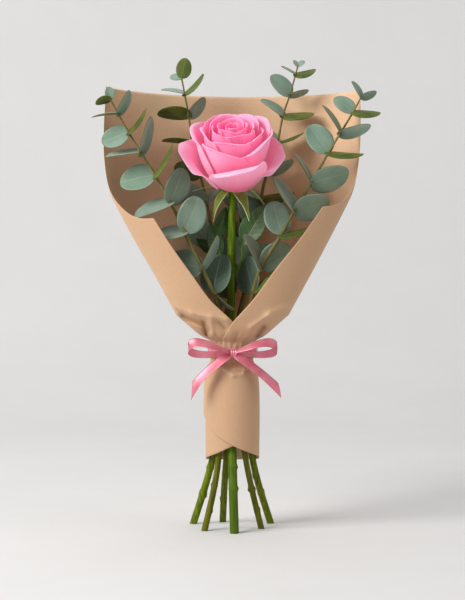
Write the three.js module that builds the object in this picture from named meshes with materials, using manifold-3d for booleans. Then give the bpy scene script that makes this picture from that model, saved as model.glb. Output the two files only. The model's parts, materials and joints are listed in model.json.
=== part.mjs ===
// One pink rose and five eucalyptus branches, rolled in kraft paper and tied with a satin bow.
// Millimetres, +Z up, -Y is the front. The bunch stands on its six splayed stems, cut level.
// The origin is the middle of the base of the whole bunch, on the surface that it stands on.

import * as THREE from "three";
import { mergeVertices } from "three/addons/utils/BufferGeometryUtils.js";
import Module from "manifold-3d";

const wasm = await Module();
wasm.setup();

// ---------------------------------------------------------------- driving dimensions

const SHEET_THICKNESS = { paper: 0.8, petal: 0.8, leaf: 0.8, sepal: 0.8, ribbon: 0.6 };
const NECK_HEIGHT = 160; // where the bow pinches the paper
const TRIM_BELOW = 6; // how far a stem runs under the floor before it is cut level

// Kraft wrap: half width, depth behind the bundle and depth in front of it, at each height.
const WRAP_SECTIONS = [
  { z: 55, half: 24, back: 24, front: 24 },
  { z: 128, half: 24, back: 24, front: 24 },
  { z: 146, half: 21, back: 21, front: 21 },
  { z: 152, half: 17.8, back: 17.8, front: 17.8 },
  { z: 169, half: 18.2, back: 18.2, front: 18.2 },
  { z: 174, half: 27.5, back: 23, front: 23 },
  { z: 180, half: 37, back: 27, front: 27 },
  { z: 193, half: 50.5, back: 33, front: 32 },
  { z: 215, half: 62.5, back: 39, front: 37 },
  { z: 251, half: 82.5, back: 46, front: 42 },
  { z: 287, half: 101.5, back: 52, front: 43 },
  { z: 305, half: 109.5, back: 54, front: 42 },
  { z: 327, half: 113.5, back: 56, front: 38 },
  { z: 350, half: 115, back: 59, front: 32 },
  { z: 400, half: 114, back: 62, front: 20 },
];
const WRAP_LAP_GAP = 1.6; // the right flap lies this far outside the left one,
const WRAP_LAP_TURN = [95, 150]; // coming away from it between these turns
const FLAP_SQUARENESS = 0.75; // 1 is an ellipse, less is a flatter front,
const FLAP_SQUARE_BETWEEN = [150, 200]; // reached between these heights

// The edges of the sheet, as [around, z] points. The stops are the points' shares of each edge.
const WRAP_EDGES = {
  // The front edge of the left flap, from its foot up to its corner.
  left: [
    [-240, 84], [-240, 120], [-238, 150], [-225, 163], [-196, 174], [-180, 188], [-161, 206],
    [-150, 228], [-140.5, 254], [-134.5, 279],
  ],
  // The front edge of the right flap.
  right: [
    [280, 100], [280, 125], [272, 150], [240, 161], [205, 173], [181, 187], [162, 208],
    [150, 233], [138, 262], [130, 289],
  ],
  // The top edge: the left flap's corner, round the side, the sheet's corner, across the back,
  // and down to the right flap's corner.
  top: [
    [-134.5, 279], [-124, 279], [-113, 283], [-103, 293], [-96, 307], [-92.5, 327], [-90, 398],
    [-60, 397], [-25, 395], [0, 394], [25, 394], [60, 394.5], [90, 395], [93, 330], [97, 312],
    [106, 299], [117, 291.5], [130, 289],
  ],
  // The bottom edge: each flap is cut on the slant, so they leave a notch at the front.
  bottom: [
    [-240, 84], [-183, 77], [-140, 69], [-90, 63], [-45, 60], [0, 59], [45, 60], [90, 63.5],
    [140, 70], [178, 77], [225, 86], [280, 100],
  ],
};
const WRAP_TOP_STOPS = [
  0, 0.05, 0.1, 0.14, 0.17, 0.2, 0.25, 0.34, 0.43, 0.5, 0.57, 0.66, 0.75, 0.8, 0.83, 0.87, 0.93, 1,
];
const WRAP_BOTTOM_STOPS = [0, 0.1, 0.18, 0.27, 0.39, 0.5, 0.61, 0.73, 0.8, 0.86, 0.93, 1];
const WRAP_SIDE_STOPS = [0, 0.14, 0.3, 0.4, 0.5, 0.58, 0.67, 0.77, 0.89, 1];

const ROSE = {
  base: new THREE.Vector3(0, 8, 307),
  tilt: THREE.MathUtils.degToRad(33), // the bloom looks forward and up
  // Whorls from the heart outwards. Petals sit at `turns` (270 is the front) and reach `spread`
  // degrees to each side. `foot` is the radius and height where a petal leaves the receptacle,
  // `belly` its widest radius low down, `rim` its radius and height at the lip. `lap` carries one
  // side outside the next petal and `curl` is how far the lip rolls out.
  whorls: [
    {
      name: "heart", turns: [20, 140, 260], spread: 92,
      foot: [2, 12.5], belly: 5.5, rim: [4.5, 61], lap: 1.0, curl: 0,
    },
    {
      name: "inner", turns: [75, 165, 255, 345], spread: 66,
      foot: [3, 10], belly: 13, rim: [12, 61], lap: 1.3, curl: 0.3,
    },
    {
      name: "middle", turns: [30, 120, 210, 300], spread: 64,
      foot: [3.8, 7.5], belly: 20, rim: [19, 62.5], lap: 1.4, curl: 1.2,
    },
    {
      name: "upper", turns: [90, 162, 234, 306, 18], spread: 53,
      foot: [4.4, 5], belly: 26, rim: [27.5, 60], lap: 1.4, curl: 3,
    },
    {
      name: "lower", turns: [110, 183, 252, 313, 30], spread: 48,
      foot: [4.8, 2.5], belly: 30.5, rim: [35, 53], lap: 1.4, curl: 4,
    },
    {
      name: "guard", turns: [90, 185, 273, 357], spread: 48,
      foot: [5, 0], belly: 34.5, rim: [42, 46], lap: 1.4, curl: 5,
    },
  ],
};

// Every petal's shape, as shares of its belly, height, length or spread.
const PETAL = {
  lowBelly: 1.02, // radius of the side just above the foot
  highBelly: 1.12, // and higher up,
  highBellyAt: 0.62, // at this share of the height
  footOpening: 0.3, // width at the foot
  openAt: 0.55, // full width from this share of the length
  roundFrom: 0.62, // the tip is rounded from here,
  roundness: 0.82, // by this much
  cornerDrop: 0.1, // how much lower the lip is at its sides
  lapFrom: 0.35, // petals lap fully from here
  curlFrom: 0.7, // the lip rolls out from here,
  curlDrop: 0.6, // and this much down for each unit out
};
const PETAL_ROWS = [0, 0.2, 0.45, 0.72, 0.88, 1];
const PETAL_COLUMNS = 4;

// The rose's hip as [radius, height] from below the petals up into them, on the bloom's axis.
const HIP_OUTLINE = [
  [3.2, -9], [5, -6.5], [5.6, -4], [4.9, -1.6], [4.0, -0.6],
  [3.8, 1.5], [3.4, 4], [2.9, 6.5], [2.2, 9], [1.1, 12],
];
const HIP_SIDES = 10;

// Each sepal is [turn, slope at its foot, slope at its tip], in degrees above the horizontal.
const SEPALS = { length: 32, width: 8.5, tipWidth: 0.7, taper: 0.8, foot: 6.6, drop: -3 };
const SEPAL_SET = [
  [20, -12, -60],
  [90, -20, -100],
  [160, 4, -16],
  [232, -15, -105],
  [306, -15, -100],
];

// Stem routes from the cut end upwards, with the radius at the cut end and at the top.
const STEM_STEPS = 16;
const HEIGHT_SEARCH_STEPS = 400;
const STEMS = {
  rose_stem: {
    radius: [4.1, 3.3],
    sides: 10,
    route: [
      [1.7, -29, 0], [0, -18.3, 60], [-2, -1, 160], [-1.6, 1.5, 185], [-1, 4, 235], [-0.6, 7, 285],
      [0, 9.5, 303],
    ],
  },
  eucalyptus_far_left: {
    radius: [2.9, 0.7],
    sides: 8,
    route: [
      [35, 26, 0], [18.5, 8, 60], [9.2, -7.7, 160], [-4.5, -12.5, 181], [-17.5, -15, 214],
      [-27.5, -16, 236], [-37.5, -15.5, 256], [-55.5, -13.5, 293.5], [-69.5, -12.5, 318],
      [-93, -12, 356.5], [-109, -13, 385.5],
    ],
  },
  eucalyptus_left: {
    radius: [2.6, 0.7],
    sides: 8,
    route: [
      [26, -5, 0], [12.5, -11, 60], [-1, -12, 160], [-9, -4.5, 185], [-13, 8, 213], [-17, 21, 251],
      [-21.5, 28, 282], [-27, 32.5, 309], [-33, 35, 332], [-37.5, 35, 352], [-40, 34, 373],
      [-43, 32, 389.5], [-46.5, 28, 408],
    ],
  },
  eucalyptus_right: {
    radius: [2.9, 0.7],
    sides: 8,
    route: [
      [-36, 24, 0], [-18.5, 6, 60], [-0.5, 12, 160], [5, 17, 186], [16, 23, 233], [23.5, 30, 274],
      [28, 34, 308], [32, 36, 322], [41.5, 36.5, 351], [46.5, 35, 375], [52.5, 32, 393],
      [60, 27, 420],
    ],
  },
  eucalyptus_far_right: {
    radius: [3.0, 0.7],
    sides: 8,
    route: [
      [-9, 34, 0], [-5.5, 18, 60], [8.9, 8, 160], [13, 3, 184], [19, -4, 215], [25.5, -7, 235],
      [42.5, -10.5, 263], [54, -12, 284], [70, -12.5, 310.5], [86, -13, 338.5], [107.5, -13, 374],
      [115.5, -13, 389],
    ],
  },
  eucalyptus_back: {
    radius: [2.7, 0.9],
    sides: 8,
    route: [
      [-25, -16, 0], [-13, -13.5, 60], [-11.1, 4.5, 160], [-8, 13, 185], [-3, 22, 205],
      [2, 33, 240], [6, 41, 274], [8, 45, 297],
    ],
  },
};

// Leaf pairs of each branch, from the tip down. Each leaf is [heading, roll, length, lean]:
// heading is the midrib's angle in the front view (0 right, 90 up), roll turns the blade about
// its midrib from facing front (past 90 it shows its underside), lean tips the tip forwards.
const LEAF_PAIRS = {
  eucalyptus_far_left: [
    { z: 385, leaves: [[192, 124, 15, 8], [95, 10, 12, -10]] },
    { z: 372, leaves: [[181, 84, 27, 0], [59, 71, 26, 4]] },
    { z: 356, leaves: [[198, 20, 27, -8], [46, 105, 30, 8]] },
    { z: 338, leaves: [[182, 76, 36, 0], [68, 75, 37, 0]] },
    { z: 318, leaves: [[190, 28, 34, -8], [54, 103, 37, 10]] },
    { z: 293, leaves: [[196, 66, 38, 6], [66, 36, 35, -4]] },
    { z: 267, leaves: [[187, 62, 34, 8], [67, 16, 35, -6]] },
    { z: 235, leaves: [[172, 14, 37, -10], [59, 76, 36, 8]] },
    { z: 213, leaves: [[-44, 80, 28, 14], [80, -20, 38, -14]] },
  ],
  eucalyptus_left: [
    { z: 408, leaves: [[76, 170, 19, 10], [168, 40, 12, -12]] },
    { z: 394, leaves: [[164, 75, 25, -4], [40, 108, 28, 4]] },
    { z: 374, leaves: [[171, 117, 32, 6], [43, 58, 25, -6]] },
    { z: 348, leaves: [[168, 98, 32, 0], [30, -60, 22, -12]] },
    { z: 320, leaves: [[160, 150, 26, -10], [40, -60, 20, -14]] },
    { z: 294, leaves: [[150, -28, 30, -8], [54, -66, 22, -4]] },
    { z: 258, leaves: [[140, -20, 34, -8], [60, 40, 28, -10]] },
  ],
  eucalyptus_right: [
    { z: 419, leaves: [[125, 40, 7, 0], [40, -40, 8, 0]] },
    { z: 411, leaves: [[143, 75, 17, 0], [8, 119, 21, 4]] },
    { z: 393, leaves: [[130, 37, 26, 4], [8, 71, 20, -4]] },
    { z: 375, leaves: [[140, 66, 28, 0], [-4, 112, 32, 8]] },
    { z: 350, leaves: [[131, 74, 33, -8], [14, 98, 29, 4]] },
    { z: 323, leaves: [[150, 60, 24, -14], [18, 65, 29, -4]] },
    { z: 298, leaves: [[156, 68, 24, -6], [4, 112, 34, -2]] },
    { z: 272, leaves: [[112, 20, 34, -6], [50, -24, 30, -12]] },
    { z: 236, leaves: [[120, 22, 32, -4], [48, -40, 30, -6]] },
  ],
  eucalyptus_far_right: [
    { z: 387, leaves: [[115, 64, 18, 2], [13, 58, 16, 0]] },
    { z: 374, leaves: [[140, 30, 22, -6], [-10, 115, 27, 8]] },
    { z: 355, leaves: [[117, 76, 33, 0], [8, 66, 31, 0]] },
    { z: 338, leaves: [[124, 16, 31, -6], [-10, 107, 35, 10]] },
    { z: 311, leaves: [[115, 78, 34, 0], [12, 40, 38, -6]] },
    { z: 286, leaves: [[117, 68, 39, 8], [12, 30, 35, -6]] },
    { z: 265, leaves: [[103, 12, 33, -14], [7, 102, 36, 8]] },
    { z: 236, leaves: [[113, 70, 37, 14], [36, 14, 33, -10]] },
    { z: 215, leaves: [[108, -40, 38, -30], [38, 104, 29, 12]] },
  ],
  eucalyptus_back: [
    { z: 290, leaves: [[125, 20, 27, -4], [84, -18, 26, -4]] },
    { z: 262, leaves: [[104, 60, 22, 0], [60, -30, 26, -8]] },
    { z: 232, leaves: [[94, 4, 30, 4], [140, 30, 26, 0]] },
    { z: 208, leaves: [[72, 72, 27, 12], [104, -20, 30, -14]] },
  ],
};
// `widthRatio` is width to length, `cup` raises the edges, `lip` bends the tip back, and `lobes` is
// the share of the length that reaches behind the foot of a leaf that faces front and of one that is
// edge on.
const EUCALYPTUS_BLADE = { widthRatio: 0.76, cup: 0.14, lip: 0.1, lobes: [0.05, 0.18] };
const ROSE_BLADE = { widthRatio: 0.48, cup: 0.1, lip: 0.1, lobes: [0.0, 0.0] };
const BLADE_WIDEST_AT = 0.45;
const BLADE_ROUNDING = { foot: 0.96, tip: 0.985 }; // 1 would bring the blade to a point
const BLADE_ROWS = [0, 0.12, 0.4, 0.68, 0.9, 1];

// The rose's own leaves: a petiole, and leaflets at `feet`, as shares of its length. Same leaf
// notation as above.
const ROSE_LEAVES = {
  rose_leaf_right: { z: 231, reach: [5.5, -1, 24], feet: [1], leaves: [[60, -16, 44, 0]] },
  rose_leaf_left: {
    z: 230,
    reach: [-8.5, 2, 33],
    feet: [1, 0.5, 0.6],
    leaves: [[69, 30, 28, -4], [106, 14, 30, 4], [152, -24, 24, -2]],
  },
};
const PETIOLE = { radius: 1.1, gap: 0.6, bow: 1.5, sag: 1, sides: 6, steps: 6 };

const RIBBON = { width: 10, bandRadius: 22.5, bandSides: 28, knot: [4.6, 3.4, 4.8], knotFront: 24.8 };

// One loop of the bow on the right side, and the two tails. The lay is the direction of the
// ribbon's width.
const BOW_LOOP = {
  lay: [0, -0.5, 0.86],
  route: [
    [1.5, -26, 161], [12, -30, 166], [25, -32, 170], [35, -31, 169], [39.5, -28, 163],
    [36, -25, 158.5], [26, -24.5, 157], [13, -25.5, 158], [2, -25.5, 159],
  ],
  steps: 14,
};
const BOW_TAILS = [
  {
    lay: [-0.72, -0.15, 0.68],
    route: [
      [-1, -26.5, 158], [-8, -28, 155], [-15, -28, 149.4], [-22.4, -27.5, 142.4], [-29.5, -26, 133.5],
      [-36, -23.5, 121],
    ],
    steps: 8,
  },
  {
    lay: [0.66, -0.15, 0.74],
    route: [
      [1, -26.5, 158], [9.5, -28, 154], [18.5, -28, 147], [26.8, -27.5, 140], [34.8, -26, 132],
      [42.5, -23.5, 123],
    ],
    steps: 8,
  },
];

// ---------------------------------------------------------------- shared builders

const MERGE_DISTANCE = 1e-3;
const SLOPE_STEP = 1e-3; // step in u and v that finds a surface's slope

const radians = THREE.MathUtils.degToRad;
const vector = (p) => new THREE.Vector3(...p);
const ease = THREE.MathUtils.smoothstep;

// A closed solid from rings of points, each with the same number, capped at both ends.
function solidFromRings(rings) {
  const sides = rings[0].length;
  const positions = rings.flat().flatMap((p) => [p.x, p.y, p.z]);
  const middle = (ring) => ring.reduce((sum, p) => sum.add(p), new THREE.Vector3()).divideScalar(sides);
  const first = middle(rings[0]);
  const last = middle(rings[rings.length - 1]);
  positions.push(first.x, first.y, first.z, last.x, last.y, last.z);
  const firstIndex = rings.length * sides;
  const faces = [];
  for (let ring = 0; ring < rings.length - 1; ring++) {
    for (let side = 0; side < sides; side++) {
      const a = ring * sides + side;
      const b = ring * sides + ((side + 1) % sides);
      faces.push(a, b, b + sides, a, b + sides, a + sides);
    }
  }
  const top = (rings.length - 1) * sides;
  for (let side = 0; side < sides; side++) {
    const next = (side + 1) % sides;
    faces.push(firstIndex, next, side);
    faces.push(firstIndex + 1, top + side, top + next);
  }
  return solidFromFaces(positions, faces);
}

// A manifold solid from positions and faces, turned right side out.
function solidFromFaces(positions, faces) {
  const geometry = new THREE.BufferGeometry();
  geometry.setAttribute("position", new THREE.Float32BufferAttribute(positions, 3));
  geometry.setIndex(faces);
  const merged = mergeVertices(geometry, MERGE_DISTANCE);
  const vertProperties = merged.attributes.position.array;
  const build = (triVerts) =>
    new wasm.Manifold(new wasm.Mesh({ numProp: 3, vertProperties, triVerts }));
  const triangles = Uint32Array.from(merged.index.array);
  const solid = build(triangles);
  if (solid.volume() > 0) return solid;
  for (let i = 0; i < triangles.length; i += 3) {
    [triangles[i + 1], triangles[i + 2]] = [triangles[i + 2], triangles[i + 1]];
  }
  return build(triangles);
}

// A manifold solid from a closed three.js geometry.
function solidFromGeometry(geometry) {
  const plain = geometry.clone();
  plain.deleteAttribute("normal");
  plain.deleteAttribute("uv");
  const merged = mergeVertices(plain, MERGE_DISTANCE);
  const used = [];
  const index = merged.index.array;
  for (let i = 0; i < index.length; i += 3) {
    const [a, b, c] = [index[i], index[i + 1], index[i + 2]];
    if (a !== b && b !== c && a !== c) used.push(a, b, c);
  }
  return solidFromFaces(Array.from(merged.attributes.position.array), used);
}

function geometryOf(solid) {
  const { numProp, numVert, vertProperties, triVerts } = solid.getMesh();
  const positions = new Float32Array(numVert * 3);
  for (let i = 0; i < numVert; i++) {
    positions.set(vertProperties.subarray(i * numProp, i * numProp + 3), i * 3);
  }
  const geometry = new THREE.BufferGeometry();
  geometry.setAttribute("position", new THREE.BufferAttribute(positions, 3));
  geometry.setIndex(new THREE.BufferAttribute(Uint32Array.from(triVerts), 1));
  geometry.computeVertexNormals();
  return geometry;
}

// A thin closed sheet around a surface. surface(u, v) gives a point, with u and v from 0 to 1.
function sheetSolid(surface, columns, rows, thickness) {
  const positions = [];
  const place = (u, v, side) => {
    const point = surface(u, v);
    const alongU = surface(Math.min(u + SLOPE_STEP, 1), v).sub(surface(Math.max(u - SLOPE_STEP, 0), v));
    const alongV = surface(u, Math.min(v + SLOPE_STEP, 1)).sub(surface(u, Math.max(v - SLOPE_STEP, 0)));
    const normal = alongU.cross(alongV).normalize();
    point.addScaledVector(normal, (side * thickness) / 2);
    positions.push(point.x, point.y, point.z);
  };
  for (const side of [1, -1]) {
    for (const v of rows) {
      for (const u of columns) place(u, v, side);
    }
  }
  const wide = columns.length;
  const layer = wide * rows.length;
  const faces = [];
  const quad = (a, b, c, d) => faces.push(a, b, c, a, c, d);
  for (let row = 0; row < rows.length - 1; row++) {
    for (let column = 0; column < wide - 1; column++) {
      const a = row * wide + column;
      quad(a, a + 1, a + wide + 1, a + wide);
      quad(layer + a, layer + a + wide, layer + a + wide + 1, layer + a + 1);
    }
  }
  const rim = [];
  for (let column = 0; column < wide; column++) rim.push(column);
  for (let row = 1; row < rows.length; row++) rim.push(row * wide + wide - 1);
  for (let column = wide - 2; column >= 0; column--) rim.push((rows.length - 1) * wide + column);
  for (let row = rows.length - 2; row >= 1; row--) rim.push(row * wide);
  rim.forEach((a, i) => {
    const b = rim[(i + 1) % rim.length];
    quad(b, a, layer + a, layer + b);
  });
  return solidFromFaces(positions, faces);
}

const even = (steps) => Array.from({ length: steps + 1 }, (_, i) => i / steps);

// The value at z of a table of rows, on a smooth curve through them.
function smoothValue(rows, key, z) {
  const last = rows.length - 1;
  const height = THREE.MathUtils.clamp(z, rows[0].z, rows[last].z);
  const i = Math.min(rows.findIndex((row, k) => k < last && height <= rows[k + 1].z), last - 1);
  const slope = (k) => {
    const low = rows[Math.max(k - 1, 0)];
    const high = rows[Math.min(k + 1, last)];
    return (high[key] - low[key]) / (high.z - low.z);
  };
  const [low, high] = [rows[i], rows[i + 1]];
  const span = high.z - low.z;
  const t = (height - low.z) / span;
  return (
    low[key] * (1 + 2 * t) * (1 - t) ** 2 +
    slope(i) * span * t * (1 - t) ** 2 +
    high[key] * t * t * (3 - 2 * t) +
    slope(i + 1) * span * t * t * (t - 1)
  );
}

// ---------------------------------------------------------------- kraft wrap

// A point of the wrap. `around` is the angle from the middle of the back, in degrees: 90 is the
// right side, 180 the front, and the right flap runs on past it, outside the left flap.
function wrapPoint(around, z) {
  const angle = radians(around);
  const half = smoothValue(WRAP_SECTIONS, "half", z);
  const back = smoothValue(WRAP_SECTIONS, "back", z);
  const front = smoothValue(WRAP_SECTIONS, "front", z);
  const squareness = THREE.MathUtils.lerp(1, FLAP_SQUARENESS, ease(z, ...FLAP_SQUARE_BETWEEN));
  const lift = WRAP_LAP_GAP * ease(around, ...WRAP_LAP_TURN);
  const cosine = Math.cos(angle);
  const depth =
    cosine >= 0 ? (back + lift) * cosine : -(front + lift) * Math.abs(cosine) ** squareness;
  return new THREE.Vector3((half + lift) * Math.sin(angle), depth, z);
}

// The point of an edge at a share of its way, straight between its stops.
function alongEdge(edge, stops, share) {
  const i = Math.max(0, Math.min(stops.findLastIndex((stop) => stop <= share), stops.length - 2));
  const t = (share - stops[i]) / (stops[i + 1] - stops[i]);
  return [0, 1].map((k) => THREE.MathUtils.lerp(edge[i][k], edge[i + 1][k], t));
}

// The sheet's own grid, filled in smoothly from its four edges.
function wrapSurface(u, v) {
  const top = alongEdge(WRAP_EDGES.top, WRAP_TOP_STOPS, u);
  const bottom = alongEdge(WRAP_EDGES.bottom, WRAP_BOTTOM_STOPS, u);
  const left = alongEdge(WRAP_EDGES.left, WRAP_SIDE_STOPS, v);
  const right = alongEdge(WRAP_EDGES.right, WRAP_SIDE_STOPS, v);
  const [around, z] = [0, 1].map((k) => {
    const corners =
      (1 - u) * (1 - v) * WRAP_EDGES.bottom[0][k] +
      u * (1 - v) * WRAP_EDGES.bottom.at(-1)[k] +
      (1 - u) * v * WRAP_EDGES.top[0][k] +
      u * v * WRAP_EDGES.top.at(-1)[k];
    return (1 - v) * bottom[k] + v * top[k] + (1 - u) * left[k] + u * right[k] - corners;
  });
  return wrapPoint(around, z);
}

function kraftWrap() {
  const between = (stops) => stops.slice(1).flatMap((stop, i) => [(stops[i] + stop) / 2, stop]);
  const columns = [0, ...between(WRAP_TOP_STOPS)];
  const rows = [0, ...between(WRAP_SIDE_STOPS)];
  return sheetSolid(wrapSurface, columns, rows, SHEET_THICKNESS.paper);
}

// ---------------------------------------------------------------- stems

function stemCurve(route) {
  const points = route.map(vector);
  const upwards = points[1].clone().sub(points[0]);
  const under = points[0].clone().addScaledVector(upwards, -TRIM_BELOW / points[1].z);
  return new THREE.CatmullRomCurve3([under, ...points], false, "centripetal");
}

function stemSolid({ route, radius, sides }) {
  const curve = stemCurve(route);
  const frames = curve.computeFrenetFrames(STEM_STEPS, false);
  const rings = even(STEM_STEPS).map((t, i) => {
    const centre = curve.getPointAt(t);
    const r = THREE.MathUtils.lerp(radius[0], radius[1], t);
    return even(sides).slice(0, -1).map((share) => {
      const angle = share * 2 * Math.PI;
      return centre
        .clone()
        .addScaledVector(frames.normals[i], r * Math.cos(angle))
        .addScaledVector(frames.binormals[i], r * Math.sin(angle));
    });
  });
  return solidFromRings(rings).trimByPlane([0, 0, 1], 0);
}

function pointAtHeight(curve, z) {
  const found = even(HEIGHT_SEARCH_STEPS).find((t) => curve.getPoint(t).z >= z) ?? 1;
  return curve.getPoint(found);
}

// ---------------------------------------------------------------- leaves

// One leaf blade on its own frame: midrib along the heading, rolled and leaned, cupped a little.
function leafSolid(foot, [heading, roll, length, lean], blade) {
  const [theta, rho, delta] = [heading, roll, lean].map(radians);
  const midrib = new THREE.Vector3(
    Math.cos(theta) * Math.cos(delta),
    -Math.sin(delta),
    Math.sin(theta) * Math.cos(delta),
  );
  const towardsViewer = new THREE.Vector3(0, -1, 0);
  const facing = towardsViewer.addScaledVector(midrib, -towardsViewer.dot(midrib)).normalize();
  const normal = facing.applyAxisAngle(midrib, rho);
  const across = new THREE.Vector3().crossVectors(normal, midrib);
  const halfWidth = (length * blade.widthRatio) / 2;
  const behind = THREE.MathUtils.lerp(...blade.lobes, Math.sin(rho) ** 2);
  const surface = (u, v) => {
    const side = 2 * u - 1;
    const fromWidest =
      v < BLADE_WIDEST_AT
        ? (BLADE_ROUNDING.foot * (BLADE_WIDEST_AT - v)) / BLADE_WIDEST_AT
        : (BLADE_ROUNDING.tip * (v - BLADE_WIDEST_AT)) / (1 - BLADE_WIDEST_AT);
    const half = halfWidth * Math.sqrt(1 - fromWidest ** 2);
    const lift = blade.cup * half * Math.abs(side) ** 1.5 - blade.lip * length * v * v;
    return foot
      .clone()
      .addScaledVector(midrib, length * (v - behind))
      .addScaledVector(across, half * side)
      .addScaledVector(normal, lift);
  };
  return sheetSolid(surface, even(2), BLADE_ROWS, SHEET_THICKNESS.leaf);
}

function eucalyptusBranch(name) {
  const curve = stemCurve(STEMS[name].route);
  const leaves = LEAF_PAIRS[name].flatMap(({ z, leaves: pair }) => {
    const foot = pointAtHeight(curve, z);
    return pair.map((leaf) => leafSolid(foot, leaf, EUCALYPTUS_BLADE));
  });
  return leaves.reduce((branch, leaf) => branch.add(leaf), stemSolid(STEMS[name]));
}

// A rose leaf: its petiole leaves the stem and carries the leaflets.
function roseLeaf({ z, reach, feet, leaves }) {
  const start = pointAtHeight(stemCurve(STEMS.rose_stem.route), z);
  const outwards = Math.sign(reach[0]);
  start.x += outwards * (STEMS.rose_stem.radius[0] + PETIOLE.gap);
  const end = start.clone().add(vector(reach));
  const bend = start.clone().lerp(end, 0.5).add(new THREE.Vector3(outwards * PETIOLE.bow, 0, -PETIOLE.sag));
  const curve = new THREE.CatmullRomCurve3([start, bend, end]);
  const frames = curve.computeFrenetFrames(PETIOLE.steps, false);
  const rings = even(PETIOLE.steps).map((t, i) =>
    even(PETIOLE.sides).slice(0, -1).map((share) => {
      const angle = share * 2 * Math.PI;
      return curve
        .getPointAt(t)
        .addScaledVector(frames.normals[i], PETIOLE.radius * Math.cos(angle))
        .addScaledVector(frames.binormals[i], PETIOLE.radius * Math.sin(angle));
    }),
  );
  return leaves.reduce(
    (whole, leaf, i) => whole.add(leafSolid(curve.getPointAt(feet[i]), leaf, ROSE_BLADE)),
    solidFromRings(rings),
  );
}

// ---------------------------------------------------------------- rose bloom

const bloomToBunch = new THREE.Matrix4()
  .makeTranslation(ROSE.base)
  .multiply(new THREE.Matrix4().makeRotationX(ROSE.tilt));

// A petal: a cupped blade that rises from the receptacle, laps over the next one and curls out
// at the lip. u runs across it and v from its foot to its lip.
function petalSurface(whorl, index) {
  const middle = radians(whorl.turns[index]);
  const [footRadius, footHeight] = whorl.foot;
  const [rimRadius, rimHeight] = whorl.rim;
  const profile = new THREE.CubicBezierCurve(
    new THREE.Vector2(footRadius, footHeight),
    new THREE.Vector2(whorl.belly * PETAL.lowBelly, footHeight + 1),
    new THREE.Vector2(
      whorl.belly * PETAL.highBelly,
      footHeight + PETAL.highBellyAt * (rimHeight - footHeight),
    ),
    new THREE.Vector2(rimRadius, rimHeight),
  );
  return (u, v) => {
    const side = 2 * u - 1;
    const opening = PETAL.footOpening + (1 - PETAL.footOpening) * ease(v, 0, PETAL.openAt);
    const pastRound = Math.max(0, (v - PETAL.roundFrom) / (1 - PETAL.roundFrom));
    const rounding = Math.sqrt(1 - PETAL.roundness * pastRound ** 2);
    const angle = middle + radians(whorl.spread) * side * opening * rounding;
    const shoulder = v * (1 - PETAL.cornerDrop * side * side * v);
    const point = profile.getPoint(shoulder);
    const slope = profile.getTangent(shoulder);
    const curl = whorl.curl * ease(v, PETAL.curlFrom, 1) ** 2;
    const lap = whorl.lap * side * ease(v, 0, PETAL.lapFrom);
    const radius = point.x + slope.y * lap + curl;
    const height = point.y - slope.x * lap - PETAL.curlDrop * curl;
    return new THREE.Vector3(radius * Math.cos(angle), radius * Math.sin(angle), height).applyMatrix4(
      bloomToBunch,
    );
  };
}

function petals() {
  return ROSE.whorls.flatMap((whorl) =>
    whorl.turns.map((_, index) => [
      `petal_${whorl.name}_${index + 1}`,
      sheetSolid(petalSurface(whorl, index), even(PETAL_COLUMNS), PETAL_ROWS, SHEET_THICKNESS.petal),
    ]),
  );
}

// The rose stem with its swollen hip, which runs up inside the petals' feet as the receptacle.
function roseStem() {
  const rings = HIP_OUTLINE.map(([radius, height]) =>
    even(HIP_SIDES).slice(0, -1).map((share) => {
      const angle = share * 2 * Math.PI;
      return new THREE.Vector3(radius * Math.cos(angle), radius * Math.sin(angle), height).applyMatrix4(
        bloomToBunch,
      );
    }),
  );
  return stemSolid(STEMS.rose_stem).add(solidFromRings(rings));
}

function sepalSolid([turn, slopeAtFoot, slopeAtTip]) {
  const angle = radians(turn);
  const outwards = new THREE.Vector3(Math.cos(angle), Math.sin(angle), 0);
  const across = new THREE.Vector3(-Math.sin(angle), Math.cos(angle), 0);
  const foot = new THREE.Vector3(0, 0, SEPALS.drop)
    .addScaledVector(outwards, SEPALS.foot)
    .applyMatrix4(bloomToBunch);
  // The midrib is an arc: its slope turns evenly from the foot to the tip.
  const turnRate = radians(slopeAtTip - slopeAtFoot);
  const start = radians(slopeAtFoot);
  const surface = (u, v) => {
    const half = (SEPALS.width / 2) * (1 - v) ** SEPALS.taper + SEPALS.tipWidth / 2;
    const end = start + turnRate * v;
    const out = (SEPALS.length * (Math.sin(end) - Math.sin(start))) / turnRate;
    const up = (SEPALS.length * (Math.cos(start) - Math.cos(end))) / turnRate;
    return foot
      .clone()
      .addScaledVector(outwards, out)
      .addScaledVector(across, half * (2 * u - 1))
      .add(new THREE.Vector3(0, 0, up));
  };
  return sheetSolid(surface, even(2), even(5), SHEET_THICKNESS.sepal);
}

// ---------------------------------------------------------------- ribbon

// A strip of ribbon along a smooth route.
function ribbonStrip({ route, lay, steps }) {
  const curve = new THREE.CatmullRomCurve3(route.map(vector));
  const surface = (u, v) => curve.getPoint(v).addScaledVector(lay, (u - 0.5) * RIBBON.width);
  return sheetSolid(surface, [0, 1], even(steps), SHEET_THICKNESS.ribbon);
}

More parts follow.
